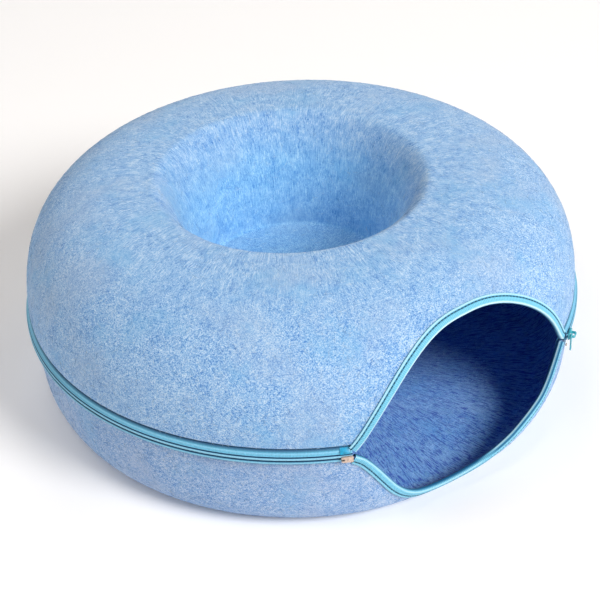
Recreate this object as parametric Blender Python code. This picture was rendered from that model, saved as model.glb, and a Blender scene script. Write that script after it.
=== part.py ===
"""Felt cat cave: two moulded felt shells held together by a zip round the rim.

The upper shell is a ring with a closed well in its middle, the lower shell is a
shallow dish with a flat base. Both are cut away on one side, and the two cut
edges, each bound with folded tape, leave the entrance between them.
Metres, +Z up, origin at the middle of the base, entrance facing -Y.
"""
import math

import bmesh
import bpy
from mathutils import Matrix, Vector

# ---------------------------------------------------------------- driving sizes
RIDGE_RADIUS = 0.2500        # over the zip, the widest line of the object
TOTAL_HEIGHT = 0.2000
FELT = 0.0040                # thickness of the moulded felt
FELT_EDGE = 0.0016           # the same where a binding presses it
EDGE_TAPER = 0.0090          # width over which it thins towards a bound edge
ZIP_HEIGHT = 0.0885          # the slit between the two tapes
GAP = 0.0003                 # left between pieces that touch

RIDGE = 0.0030               # the zip's beads stand out this far from the felt
FELT_RADIUS = RIDGE_RADIUS - RIDGE    # outer face of the felt beside the zip
CREST_RADIUS = 0.1225        # the highest line of the ring
SHOULDER_SPREAD = 2.7        # fullness of the outer quarter, sideways
SHOULDER_RISE = 2.8          # fullness of the outer quarter, upwards
UPPER_RIM_HEIGHT = 0.0985    # lower edge of the upper shell
WELL_RADIUS = 0.0870         # foot of the well's wall
WELL_FLOOR_HEIGHT = 0.0940
WELL_SPREAD = 1.6            # how soon the well's wall leaves the crest, inwards
WELL_DROP = 1.95             # and downwards

LOWER_RIM_HEIGHT = 0.0838    # upper edge of the lower shell
LOWER_WALL_LEAN = 0.105      # drawn in for each metre of height
BASE_CORNER = 0.0340         # height at which the wall starts to turn under
BASE_TUCK = 0.0043           # how far the corner draws in more than the wall
BASE_FLAT_RADIUS = 0.2074    # flat part of the base

# The moulded crown sits a little off the middle, and so does its well.
CROWN_SHIFT = Vector((-0.0038, 0.0029, 0.0))
WELL_SHIFT = Vector((-0.0020, 0.0015, 0.0))

# ---------------------------------------------------------------- the entrance
ENTRANCE_END = math.radians(28.0)     # angle from its middle at which both bindings end
ARCH_HALF_ANGLE = math.radians(29.0)
ARCH_MIDDLE = math.radians(-0.5)
ARCH_RISE = 0.0855           # felt edge over the zip line, at the middle
ARCH_ROUND = 2.5             # how full the arch is
ARCH_FOOT = 0.93             # how far its feet flare out
ARCH_FOOT_POWER = 8.0

# Edge of the lower felt under the entrance: angle in degrees, height in millimetres.
LIP_EDGE = (
    (-29.0, 88.0), (-27.5, 84.5), (-26.0, 79.5), (-24.0, 68.5), (-22.0, 55.5), (-20.0, 42.5),
    (-18.0, 32.5), (-16.0, 25.0), (-14.0, 20.0), (-11.0, 16.5), (-7.0, 16.0), (-3.0, 18.0),
    (1.0, 21.5), (5.0, 26.5), (9.0, 32.5), (13.0, 38.0), (17.0, 42.0), (20.0, 45.0),
    (22.0, 49.5), (24.0, 58.0), (26.0, 71.0), (27.5, 82.0), (28.5, 87.0), (29.5, 88.0),
)
# Cut down so far, the wall under the entrance has drawn in a little.
SAG = 0.0035
SAG_MIDDLE = math.radians(-6.0)
SAG_HALF_ANGLE = math.radians(20.0)

BINDING_WIDTH = 0.0068
BINDING_TURN = 0.0030        # width of the leg turned inside
BINDING_THICK = 0.0008
BINDING_EASE = 0.0005        # left between the binding and the felt that it wraps
BINDING_EASE_INSIDE = 0.0010

# ---------------------------------------------------------------- mesh density
BACK_COLUMNS = 44
ENTRANCE_COLUMNS = 30
WALL_ROWS = 8
WELL_ROWS = 7
LOWER_WALL_ROWS = 7
CORNER_ROWS = 2
CORNER_ROW_HEIGHT = 0.0030   # height of the first row past the deepest cut

# ---------------------------------------------------------------- the zip
# Closed outline of each tape: distance out from the felt's outer face, and
# height above the slit, both in millimetres.
UPPER_TAPE_OUTLINE = (
    (-5.1, 23.0), (-4.8, 10.6), (-3.6, 8.8), (-0.4, 7.0), (1.7, 4.6),
    (2.6, 3.4), (3.0, 2.5), (3.0, 1.2), (2.3, 0.3), (0.6, 0.3),
    (0.2, 2.0), (-1.0, 5.4), (-4.4, 7.4), (-5.8, 9.8), (-6.1, 23.0),
)
LOWER_TAPE_OUTLINE = (
    (2.3, -0.3), (3.0, -1.1), (3.0, -2.5), (2.3, -3.3), (0.2, -3.9),
    (-4.6, -3.9), (-5.1, -6.0), (-6.8, -18.0), (-7.8, -18.0), (-6.1, -5.6),
    (-5.3, -2.9), (-1.0, -2.9), (0.2, -2.0), (0.6, -0.3),
)
COIL_OUTLINE = (
    (-0.3, 2.0), (-0.1, 0.9), (-0.1, -0.9), (-0.3, -2.0), (-1.6, -2.4),
    (-2.3, -1.4), (-2.3, 1.4), (-1.6, 2.4),
)
TAPE_START = math.radians(28.6)   # angle from the entrance's middle to the tape's end

# Small fittings at the zip's two ends. Sizes along the zip, up, and outwards.
BOX_ANGLE = math.radians(-29.65)      # metal box that joins the tapes
BOX_SIZE = (0.0100, 0.0056, 0.0020)
BOX_NOTCH = (0.0030, 0.0016)          # depth and height of the fork at its far end
FILM_THICK = 0.0005
FILM_TOP = ((-2.2, 8.7), (0.2, 7.4), (2.2, 5.0), (2.9, 4.0))     # over the upper tape
FILM_TOP_ANGLES = (math.radians(-30.9), math.radians(-29.0))
FILM_SIDE = ((0.5, -4.6), (0.3, -8.0), (-0.2, -12.0), (-0.7, -16.0))   # below the lower tape
FILM_SIDE_ANGLES = (math.radians(29.7), math.radians(31.0))
SLIDER_ANGLE = math.radians(29.9)
SLIDER_SIZE = (0.0096, 0.0086, 0.0018)
CROWN_SIZE = (0.0074, 0.0024, 0.0044)
CROWN_BAR = 0.0012
PULL_TOP = (0.0050, 0.0052)           # the eye at the top of the pull
PULL_EYE = (0.0022, 0.0032)
PULL_TAIL = (0.0036, 0.0175)
PULL_THICK = 0.0012
STOP_SIZE = (0.0024, 0.0022, 0.0012)


# ---------------------------------------------------------------- small helpers
def material(name, colour, roughness, metallic=0.0):
    """A Principled material; the colour is given as sRGB numbers from 0 to 255."""
    linear = [((c / 255 + 0.055) / 1.055) ** 2.4 if c > 10 else c / 255 / 12.92 for c in colour]
    found = bpy.data.materials.new(name)
    found.use_nodes = True
    shader = found.node_tree.nodes["Principled BSDF"]
    shader.inputs["Base Color"].default_value = (*linear, 1.0)
    shader.inputs["Roughness"].default_value = roughness
    shader.inputs["Metallic"].default_value = metallic
    return found


def finish_object(name, mesh_data, finish, smooth_angle=40.0):
    """Put a bmesh into the scene as one named, shaded object."""
    bmesh.ops.recalc_face_normals(mesh_data, faces=mesh_data.faces)
    mesh = bpy.data.meshes.new(name)
    mesh_data.to_mesh(mesh)
    mesh_data.free()
    mesh.shade_smooth()
    mesh.set_sharp_from_angle(angle=math.radians(smooth_angle))
    mesh.materials.append(finish)
    made = bpy.data.objects.new(name, mesh)
    bpy.context.scene.collection.objects.link(made)
    return made


def turned(angle, radius, height):
    """A point at an angle from the entrance's middle, which is at -Y."""
    return Vector((radius * math.sin(angle), -radius * math.cos(angle), height))


def draw_in(point):
    """Shift a point of the lower shell with the sag under the entrance."""
    angle = math.atan2(point.x, -point.y)
    share = min(abs(angle - SAG_MIDDLE) / SAG_HALF_ANGLE, 1.0)
    radius = math.hypot(point.x, point.y)
    moved = SAG * math.cos(0.5 * math.pi * share) ** 2 * (radius / FELT_RADIUS) ** 2
    return turned(angle, radius - moved, point.z)


def settle(point):
    """Shift a point of the upper shell with its uneven crown and well."""
    radius = math.hypot(point.x, point.y)
    rim = FELT_RADIUS - FELT
    crown = min(max((rim - radius) / (rim - CREST_RADIUS), 0.0), 1.0)
    well = min(max((CREST_RADIUS - radius) / CREST_RADIUS, 0.0), 1.0)
    return point + CROWN_SHIFT * crown + WELL_SHIFT * well


# ---------------------------------------------------------------- the profiles
class Profile:
    """A turned outline as a fine chain of (radius, height), measured along its length."""

    def __init__(self, chain, felt_side):
        self.chain = chain
        self.felt_side = felt_side
        self.length = [0.0]
        for (r0, z0), (r1, z1) in zip(chain, chain[1:]):
            self.length.append(self.length[-1] + math.hypot(r1 - r0, z1 - z0))

    def place(self, along):
        """Radius, height and outward normal at a length along the outline."""
        along = min(max(along, 0.0), self.length[-1] - 1e-9)
        low, high = 0, len(self.length) - 1
        while high - low > 1:
            middle = (low + high) // 2
            if self.length[middle] <= along:
                low = middle
            else:
                high = middle
        (r0, z0), (r1, z1) = self.chain[low], self.chain[low + 1]
        step = self.length[low + 1] - self.length[low]
        share = (along - self.length[low]) / step
        out_r = (z1 - z0) / step * self.felt_side
        out_z = -(r1 - r0) / step * self.felt_side
        return r0 + (r1 - r0) * share, z0 + (z1 - z0) * share, out_r, out_z

    def offset(self, along, lift):
        """Radius and height at a distance out from the outline; felt lies at minus FELT."""
        radius, height, out_r, out_z = self.place(along)
        return radius + out_r * lift, height + out_z * lift

    def at_height(self, height, limit):
        """The first length, up to limit, at which the outline reaches a height."""
        for index in range(len(self.chain) - 1):
            z0, z1 = self.chain[index][1], self.chain[index + 1][1]
            if min(z0, z1) <= height <= max(z0, z1) and z0 != z1:
                share = (height - z0) / (z1 - z0)
                found = self.length[index] + share * (self.length[index + 1] - self.length[index])
                return min(found, limit)
        return 0.0

    def nearest(self, radius, height):
        """The length along the outline of the point nearest to a given one."""
        best, best_distance = 0.0, 1e9
        for index in range(len(self.chain) - 1):
            (r0, z0), (r1, z1) = self.chain[index], self.chain[index + 1]
            step = self.length[index + 1] - self.length[index]
            share = ((radius - r0) * (r1 - r0) + (height - z0) * (z1 - z0)) / step ** 2
            share = min(max(share, 0.0), 1.0)
            distance = math.hypot(r0 + (r1 - r0) * share - radius, z0 + (z1 - z0) * share - height)
            if distance < best_distance:
                best, best_distance = self.length[index] + share * step, distance
        return best


def quarter(start_r, start_z, end_r, end_z, spread, rise, steps=60):
    """A superellipse quarter that starts upright and ends level."""
    points = []
    for index in range(steps + 1):
        angle = 0.5 * math.pi * index / steps
        side = max(math.cos(angle), 0.0) ** (2 / spread)
        up = math.sin(angle) ** (2 / rise)
        points.append((end_r + (start_r - end_r) * side, start_z + (end_z - start_z) * up))
    return points


def upper_chain():
    """Outer face of the upper shell: zip line, shoulder, crest, well, well floor."""
    shoulder = quarter(FELT_RADIUS, ZIP_HEIGHT, CREST_RADIUS, TOTAL_HEIGHT,
                       SHOULDER_SPREAD, SHOULDER_RISE)
    wall = quarter(WELL_RADIUS, WELL_FLOOR_HEIGHT, CREST_RADIUS, TOTAL_HEIGHT,
                   WELL_SPREAD, WELL_DROP)
    return shoulder, list(reversed(wall))


def lower_chain():
    """Outer face of the lower shell: zip line, wall, rounded corner, flat base."""
    top_radius = FELT_RADIUS
    corner_radius = top_radius - LOWER_WALL_LEAN * (ZIP_HEIGHT - BASE_CORNER)
    foot_radius = top_radius - LOWER_WALL_LEAN * ZIP_HEIGHT - BASE_TUCK
    chain = [(top_radius, ZIP_HEIGHT), (corner_radius, BASE_CORNER)]
    steps = 24
    for index in range(1, steps + 1):
        t = index / steps
        near, middle, far = (1 - t) ** 2, 2 * t * (1 - t), t * t
        chain.append((near * corner_radius + middle * foot_radius + far * BASE_FLAT_RADIUS,
                      near * BASE_CORNER))
    return chain


def arch_height(angle):
    """Height of the upper shell's felt edge over the entrance."""
    share = abs(angle - ARCH_MIDDLE) / ARCH_HALF_ANGLE
    if share >= 1.0:
        return ZIP_HEIGHT
    full = (1 - share ** ARCH_ROUND) * (1 - ARCH_FOOT * share ** ARCH_FOOT_POWER)
    return ZIP_HEIGHT + ARCH_RISE * full


def lip_height(angle):
    """Height of the lower shell's felt edge under the entrance, smooth through its table."""
    at = math.degrees(angle)
    if not LIP_EDGE[0][0] < at < LIP_EDGE[-1][0]:
        return ZIP_HEIGHT
    index = max(i for i in range(len(LIP_EDGE) - 1) if LIP_EDGE[i][0] <= at)
    (a0, h0), (a1, h1) = LIP_EDGE[index], LIP_EDGE[index + 1]
    before, after = LIP_EDGE[max(index - 1, 0)], LIP_EDGE[min(index + 2, len(LIP_EDGE) - 1)]
    slope0 = (h1 - before[1]) / (a1 - before[0])
    slope1 = (after[1] - h0) / (after[0] - a0)
    t, width = (at - a0) / (a1 - a0), a1 - a0
    height = h0 * (1 + 2 * t) * (1 - t) ** 2 + slope0 * width * t * (1 - t) ** 2
    height += h1 * t * t * (3 - 2 * t) + slope1 * width * t * t * (t - 1)
    return height / 1000


def felt_thickness(angle, inward):
    """Thickness of the felt at a distance in from its free edge."""
    if abs(math.remainder(angle, 2 * math.pi)) > ENTRANCE_END + 0.001:
        return FELT
    return FELT_EDGE + (FELT - FELT_EDGE) * min(inward / EDGE_TAPER, 1.0)


def entrance_angles():
    """Angles across the entrance, closer together where its edges turn."""
    return [ENTRANCE_END * math.sin(0.5 * math.pi * (2 * i / ENTRANCE_COLUMNS - 1))
            for i in range(ENTRANCE_COLUMNS + 1)]


def column_angles():
    """Angles of the shells' columns: those of the entrance, then wider ones behind."""
    front = entrance_angles()
    span = 2 * math.pi - 2 * front[-1]
    return front + [front[-1] + span * i / BACK_COLUMNS for i in range(1, BACK_COLUMNS)]


# ---------------------------------------------------------------- the felt shells
def felt_shell(name, finish, profile, starts, stations, shape):
    """One closed shell of felt, from a free edge to a closed middle.

    starts gives, for each column, the length along the outline where the felt's
    edge lies; stations gives the number of rows that follow it and then the
    lengths of the fixed rows; shape moves each point of the turned surface.
    """
    free_rows, fixed_rows = stations
    angles = column_angles()
    shell = bmesh.new()
    faces = []
    for inner_side in (False, True):
        grid = []
        for angle, start in zip(angles, starts):
            first = start + EDGE_TAPER
            lengths = [start]
            lengths += [first + (fixed_rows[0] - first) * i / free_rows for i in range(free_rows)]
            lengths += fixed_rows
            column = []
            for along in lengths:
                lift = -felt_thickness(angle, along - start) if inner_side else 0.0
                radius, height = profile.offset(along, lift)
                column.append(shell.verts.new(shape(turned(angle, max(radius, 0.002), height))))
            grid.append(column)
        pole = shell.verts.new(shape(turned(0.0, 0.0, grid[0][-1].co.z)))
        faces.append((grid, pole))
    for grid, pole in faces:
        for left, right in zip(grid, grid[1:] + grid[:1]):
            for row in range(len(left) - 1):
                shell.faces.new((left[row], right[row], right[row + 1], left[row + 1]))
            shell.faces.new((left[-1], right[-1], pole))
    outer, inner = faces[0][0], faces[1][0]
    for index in range(len(outer)):
        after = (index + 1) % len(outer)
        shell.faces.new((outer[index][0], outer[after][0], inner[after][0], inner[index][0]))
    finish_object(name, shell, finish)


def upper_shell(finish):
    """The ring with its arch cut away and the closed well in its middle."""
    shoulder, wall = upper_chain()
    fillet = 0.004
    floor = [(WELL_RADIUS - fillet, WELL_FLOOR_HEIGHT), (WELL_RADIUS * 0.5, WELL_FLOOR_HEIGHT),
             (0.002, WELL_FLOOR_HEIGHT)]
    wall = [point for point in wall if point[1] > WELL_FLOOR_HEIGHT + fillet]
    profile = Profile(shoulder + wall[1:] + floor, 1.0)
    crest = profile.length[len(shoulder) - 1]
    foot = profile.length[len(shoulder) + len(wall) - 2]
    rows = [crest + (foot - crest) * i / WELL_ROWS for i in range(WELL_ROWS + 1)]
    rows += [profile.length[-3], profile.length[-2]]
    starts = []
    for angle in column_angles():
        height = max(arch_height(angle), UPPER_RIM_HEIGHT)
        starts.append(profile.at_height(height, crest))
    felt_shell("upper_shell", finish, profile, starts, (WALL_ROWS, rows), settle)
    return profile


def lower_shell(finish):
    """The shallow dish with its lip cut down and its flat base."""
    chain = lower_chain()
    profile = Profile(chain + [(BASE_FLAT_RADIUS * 0.5, 0.0), (0.002, 0.0)], -1.0)
    turn = profile.at_height(CORNER_ROW_HEIGHT, 1.0)
    flat = profile.length[len(chain) - 1]
    rows = [turn + (flat - turn) * i / CORNER_ROWS for i in range(CORNER_ROWS + 1)]
    rows.append(profile.length[-2])
    starts = []
    for angle in column_angles():
        height = min(lip_height(angle), LOWER_RIM_HEIGHT)
        starts.append(profile.at_height(height, turn))
    felt_shell("lower_shell", finish, profile, starts, (LOWER_WALL_ROWS, rows), draw_in)
    return profile


# ---------------------------------------------------------------- trims
def band(name, finish, sections):
    """Skin a row of equal closed sections into one solid."""
    solid = bmesh.new()
    rings = [[solid.verts.new(point) for point in section] for section in sections]
    for left, right in zip(rings, rings[1:]):
        for i in range(len(left)):
            j = (i + 1) % len(left)
            solid.faces.new((left[i], left[j], right[j], right[i]))
    solid.faces.new(rings[0])
    solid.faces.new(list(reversed(rings[-1])))
    finish_object(name, solid, finish)


def tape(name, finish, outline, start):
    """A zip tape or its coil, turned round the rim from one end of the entrance to the other."""
    inside = [angle for angle in column_angles() if start < angle < 2 * math.pi - start]
    sections = []
    for angle in [start] + inside + [2 * math.pi - start]:
        sections.append([turned(angle, FELT_RADIUS + out / 1000, ZIP_HEIGHT + up / 1000)
                         for out, up in outline])
    band(name, finish, sections)


def binding(name, finish, profile, edge_height, into_felt, shape):
    """Folded tape over a cut edge: a leg outside, the fold, and a short leg inside.

    Each point of its section is a distance in from the cut edge, the face of the
    felt that it lies on (0 outside, 1 inside), and a lift off that face.
    """
    near, near_inside = BINDING_EASE, BINDING_EASE_INSIDE
    far, far_inside = near + BINDING_THICK, near_inside + BINDING_THICK
    round_off = 0.0007
    section = (
        (BINDING_WIDTH, 0, near), (BINDING_WIDTH, 0, far), (BINDING_WIDTH * 0.5, 0, far),
        (0.0005, 0, far), (-far, 0, far - round_off), (-far, 1, far_inside - round_off),
        (0.0005, 1, far_inside), (BINDING_TURN, 1, far_inside), (BINDING_TURN, 1, near_inside),
        (-near, 1, near_inside), (-near, 0, near), (BINDING_WIDTH * 0.5, 0, near),
    )
    sections = []
    for angle in entrance_angles():
        step = 0.002
        points = []
        for at in (angle - step, angle, angle + step):
            radius, height, _, _ = profile.place(profile.at_height(edge_height(at), 1.0))
            points.append(turned(at, radius, height))
        _, _, out_r, out_z = profile.place(profile.at_height(edge_height(angle), 1.0))
        across = (points[2] - points[0]).cross(turned(angle, out_r, out_z)).normalized()
        if across.z * into_felt < 0:
            across = -across
        ring = []
        for distance, inside, off in section:
            spot = points[1] + across * distance
            here = math.atan2(spot.x, -spot.y)
            if distance < 0:
                lift = -felt_thickness(angle, 0.0) - off if inside else off
                radius = math.hypot(spot.x, spot.y) + out_r * lift
                height = spot.z + out_z * lift
            else:
                along = profile.nearest(math.hypot(spot.x, spot.y), spot.z)
                start = profile.at_height(edge_height(here), 1.0)
                lift = -felt_thickness(angle, along - start) - off if inside else off
                radius, height = profile.offset(along, lift)
            ring.append(shape(turned(here, radius, height)))
        sections.append(ring)
    band(name, finish, sections)


def on_ridge(made, angle, out, height):
    """Turn an object's -Y side outwards and place its origin over the zip's ridge."""
    made.data.transform(Matrix.Translation(turned(angle, FELT_RADIUS + out, height))
                        @ Matrix.Rotation(angle, 4, "Z"))


def plate(name, finish, outline, depth, flip=False, hole=None):
    """A flat piece cut to an outline, from its back at 0 outwards to a depth.

    The outline is along the zip and up; with flip it is along the zip and
    outwards, and the depth is centred on the zip's line. A hole is an outline
    with as many points as the piece's own.
    """
    solid = bmesh.new()
    layers = []
    for level in ((-0.5 * depth, 0.5 * depth) if flip else (0.0, depth)):
        for ring in (outline, hole) if hole else (outline,):
            layers.append([solid.verts.new((x, -y, level) if flip else (x, -level, y))
                           for x, y in ring])
    count = len(outline)
    pairs = ((0, 2), (1, 3), (0, 1), (2, 3)) if hole else ((0, 1),)
    for first, second in pairs:
        for i in range(count):
            j = (i + 1) % count
            solid.faces.new((layers[first][i], layers[first][j],
                             layers[second][j], layers[second][i]))
    if not hole:
        solid.faces.new(layers[0])
        solid.faces.new(list(reversed(layers[1])))
    return finish_object(name, solid, finish, 30.0)


def film(name, finish, line, angles, shape):
    """A strip of stiff film lying along a line of (out, up) millimetres."""
    outer = [(out + FILM_THICK * 700, up + FILM_THICK * 700) for out, up in reversed(line)]
    sections = []
    for i in range(4):
        angle = angles[0] + (angles[1] - angles[0]) * i / 3
        sections.append([shape(turned(angle, FELT_RADIUS + out / 1000, ZIP_HEIGHT + up / 1000))
                         for out, up in list(line) + outer])
    band(name, finish, sections)


def zip_box(finish):
    """The metal box, forked where the joined tapes run into it."""
    length, tall, deep = BOX_SIZE
    notch, gap = BOX_NOTCH
    x, y, cut = length / 2, tall / 2, 0.0007
    outline = (
        (x, -y + cut), (x, y - cut), (x - cut, y), (-x + notch, y), (-x + cut, y - cut * 0.6),
        (-x, y - 2 * cut), (-x + cut, gap / 2), (-x + notch, gap / 2), (-x + notch, -gap / 2),
        (-x + cut, -gap / 2), (-x, -y + 2 * cut), (-x + cut, -y + cut * 0.6),
        (-x + notch, -y), (x - cut, -y),
    )
    on_ridge(plate("zip_box", finish, outline, deep), BOX_ANGLE, RIDGE + GAP, ZIP_HEIGHT)


def slider(finish):
    """The slider's body over the zip, with the crown that its pull hangs from."""
    length, tall, deep = SLIDER_SIZE
    x, y, waist = length / 2, tall / 2, tall * 0.36
    outline = (
        (x, -y * 0.7), (x, y * 0.7), (x * 0.6, y), (-x * 0.3, y), (-x, waist),
        (-x, -waist), (-x * 0.3, -y), (x * 0.6, -y),
    )
    body = plate("zip_slider", finish, outline, deep)
    reach, width, height = CROWN_SIZE
    far, near = reach / 2, reach / 2 - CROWN_BAR
    top, under = deep + height, deep + height - CROWN_BAR
    arch = (
        (far, deep * 0.5), (far, top - 0.0012), (far - 0.0012, top), (-far + 0.0012, top),
        (-far, top - 0.0012), (-far, deep * 0.5), (-near, deep * 0.5), (-near, under - 0.0006),
        (-near + 0.0006, under), (near - 0.0006, under), (near, under - 0.0006),
        (near, deep * 0.5),
    )
    crown = plate("crown", finish, arch, width, flip=True)
    join = body.modifiers.new("join", "BOOLEAN")
    join.operation = "UNION"
    join.solver = "EXACT"
    join.object = crown
    joined = bpy.data.meshes.new_from_object(body.evaluated_get(
        bpy.context.evaluated_depsgraph_get()))
    body.modifiers.clear()
    body.data = joined
    bpy.data.objects.remove(crown, do_unlink=True)
    on_ridge(body, SLIDER_ANGLE, RIDGE + GAP, ZIP_HEIGHT)


def pull(finish):
    """The pull: its eye hangs on the crown's far leg, its tail hangs straight down."""
    wide, high = PULL_TOP
    eye_wide, eye_high = PULL_EYE
    tail_wide, length = PULL_TAIL
    x, tip = wide / 2, tail_wide / 2
    corner = 0.0012
    bottom = high / 2 - length
    outline = (
        (x - corner, high / 2), (-x + corner, high / 2), (-x, high / 2 - corner),
        (-x, -high / 2 + corner), (-tip, -high / 2 - corner), (-tip, bottom + corner),
        (-tip + corner, bottom), (tip - corner, bottom), (tip, bottom + corner),
        (tip, -high / 2 - corner), (x, -high / 2 + corner), (x, high / 2 - corner),
    )
    a, b, c = eye_wide / 2, eye_high / 2, 0.0004
    hole = (
        (a - c, b), (-a + c, b), (-a, b - c), (-a, 0.0), (-a, -b + c), (-a + c, -b),
        (-0.0003, -b), (0.0003, -b), (a - c, -b), (a, -b + c), (a, 0.0), (a, b - c),
    )
    made = plate("zip_pull", finish, outline, PULL_THICK, hole=hole)
    leg = CROWN_SIZE[0] / 2 - CROWN_BAR / 2
    drop = eye_high / 2 - CROWN_SIZE[1] / 2 - GAP
    made.data.transform(Matrix.Translation((-leg, 0.0, -drop)))
    on_ridge(made, SLIDER_ANGLE, RIDGE + GAP + SLIDER_SIZE[2] + 0.0006, ZIP_HEIGHT)


def stop(finish):
    """The small metal stop clipped to the end of the lower film."""
    length, tall, deep = STOP_SIZE
    x, y, cut = length / 2, tall / 2, 0.0005
    outline = (
        (x, -y + cut), (x, y - cut), (x - cut, y), (-x + cut, y),
        (-x, y - cut), (-x, -y + cut), (-x + cut, -y), (x - cut, -y),
    )
    out, up = FILM_SIDE[-1]
    middle = 0.5 * (FILM_SIDE_ANGLES[0] + FILM_SIDE_ANGLES[1])
    on_ridge(plate("zip_stop", finish, outline, deep), middle,
             out / 1000 + FILM_THICK + 3 * GAP, ZIP_HEIGHT + up / 1000 + tall)


def clear_scene():
    """Start from an empty scene."""
    for existing in list(bpy.data.objects):
        bpy.data.objects.remove(existing, do_unlink=True)


def main():
    clear_scene()
    felt = material("blue_felt", (146, 186, 228), 0.95)
    lower_felt = material("blue_felt_lower", (150, 180, 224), 0.95)
    tape_cloth = material("sky_blue_tape", (120, 200, 236), 0.8)
    film_cloth = material("tape_end_film", (60, 178, 226), 0.45)
    copper = material("copper_metal", (214, 160, 120), 0.35, 1.0)
    teal = material("teal_enamel", (60, 168, 186), 0.4)

    upper = upper_shell(felt)
    lower = lower_shell(lower_felt)
    tape("zip_upper_tape", tape_cloth, UPPER_TAPE_OUTLINE, TAPE_START)
    tape("zip_lower_tape", tape_cloth, LOWER_TAPE_OUTLINE, TAPE_START)
    tape("zip_coil", tape_cloth, COIL_OUTLINE, TAPE_START + 0.02)
    film("film_patch_left", film_cloth, FILM_TOP, FILM_TOP_ANGLES, Vector)
    film("film_patch_right", film_cloth, FILM_SIDE, FILM_SIDE_ANGLES, draw_in)
    zip_box(copper)
    slider(teal)
    pull(teal)
    stop(copper)
    binding("arch_binding", tape_cloth, upper, arch_height, 1.0, settle)
    binding("lip_binding", tape_cloth, lower, lip_height, -1.0, draw_in)


main()
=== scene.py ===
"""Felt cat cave: the finished look of its felt, zip, bindings and fittings.

Two moulded felt shells meet at a zip. The upper one is a ring with a well in
its middle, the lower one a dish, and both are cut away over an entrance whose
edges are bound with folded tape. Metres, +Z up, the entrance faces -Y.
"""
import math

import bmesh
import bpy
import numpy as np
from mathutils import Matrix, Vector


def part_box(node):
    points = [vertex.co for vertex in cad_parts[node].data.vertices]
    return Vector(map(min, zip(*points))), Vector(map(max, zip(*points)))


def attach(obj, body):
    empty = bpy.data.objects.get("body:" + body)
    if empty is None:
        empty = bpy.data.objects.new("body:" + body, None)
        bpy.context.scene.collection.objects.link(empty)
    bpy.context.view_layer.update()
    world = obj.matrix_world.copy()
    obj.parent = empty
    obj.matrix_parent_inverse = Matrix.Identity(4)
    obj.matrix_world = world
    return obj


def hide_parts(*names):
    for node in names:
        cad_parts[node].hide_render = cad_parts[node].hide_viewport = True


bl_info = {
    "name": "Felt cat cave",
    "version": (1, 0, 0),
    "blender": (4, 5, 0),
    "location": "View3D > Sidebar > Cat cave",
    "description": "Builds a moulded felt cat cave with its zip and bindings",
    "category": "Add Mesh",
}

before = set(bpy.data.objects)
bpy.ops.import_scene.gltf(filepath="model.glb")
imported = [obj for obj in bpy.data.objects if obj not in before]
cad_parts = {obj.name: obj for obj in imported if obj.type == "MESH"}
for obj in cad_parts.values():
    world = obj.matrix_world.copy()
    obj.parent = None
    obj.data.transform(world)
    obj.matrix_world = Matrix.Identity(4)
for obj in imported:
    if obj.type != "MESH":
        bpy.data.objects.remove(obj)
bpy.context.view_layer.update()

# ---------------------------------------------------------------- shape of the shells
RIDGE_RADIUS = 0.2500
RIDGE = 0.0030
FELT_RADIUS = RIDGE_RADIUS - RIDGE
TOTAL_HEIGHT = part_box("upper_shell")[1].z
FELT = 0.0040
FELT_EDGE = 0.0016
EDGE_TAPER = 0.0090
EDGE_ROUNDING = 0.36         # each corner of the cut edge, as a share of the felt's thickness
ZIP_HEIGHT = 0.0885
CREST_RADIUS = 0.1225
SHOULDER_SPREAD = 2.7
SHOULDER_RISE = 2.8
UPPER_RIM_HEIGHT = 0.0985
WELL_RADIUS = 0.0870
WELL_FLOOR_HEIGHT = 0.0940
WELL_SPREAD = 1.6
WELL_DROP = 1.95
WELL_FILLET = 0.0030
WELL_FILLET_STEPS = 8
LOWER_RIM_HEIGHT = 0.0838
LOWER_WALL_LEAN = 0.105
BASE_CORNER = 0.0340
BASE_TUCK = 0.0043
BASE_FLAT_RADIUS = 0.2074
MIDDLE_RADIUS = 0.002        # the outlines end this near to the axis, and a fan closes them
CROWN_SHIFT = (-0.0038, 0.0029)
WELL_SHIFT = (-0.0020, 0.0015)

# ---------------------------------------------------------------- the entrance
ENTRANCE_END = math.radians(28.0)
ENTRANCE_FRONT = math.radians(29.5)      # columns are close together up to here
PRESSED_END = math.radians(29.2)         # the felt's edge is pressed thin up to here
PRESSED_FADE = math.radians(1.15)
ARCH_HALF_ANGLE = math.radians(29.0)
ARCH_MIDDLE = math.radians(-0.5)
ARCH_RISE = 0.0855
ARCH_ROUND = 2.5
ARCH_FOOT = 0.93
ARCH_FOOT_POWER = 8.0
LIP_EDGE = (
    (-29.0, 88.0), (-27.5, 84.5), (-26.0, 79.5), (-24.0, 68.5), (-22.0, 55.5), (-20.0, 42.5),
    (-18.0, 32.5), (-16.0, 25.0), (-14.0, 20.0), (-11.0, 16.5), (-7.0, 16.0), (-3.0, 18.0),
    (1.0, 21.5), (5.0, 26.5), (9.0, 32.5), (13.0, 38.0), (17.0, 42.0), (20.0, 45.0),
    (22.0, 49.5), (24.0, 58.0), (26.0, 71.0), (27.5, 82.0), (28.5, 87.0), (29.5, 88.0),
)
SAG = 0.0035
SAG_MIDDLE = math.radians(-6.0)
SAG_HALF_ANGLE = math.radians(20.0)

BINDING_WIDTH = 0.0068
BINDING_TURN = 0.0030
BINDING_THICK = 0.0008
BINDING_EASE = 0.0005
BINDING_EASE_INSIDE = 0.0010
STITCH_IN = 0.62             # place of the stitch line across the binding, from its fold
STITCH_SINK = 0.00015        # the stitches' middle lies this far below the tape's face
LIP_SHADE_SPAN = (1.0, 6.0)        # painted shade and highlight on the lip's binding start and end to change here, in degrees
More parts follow.
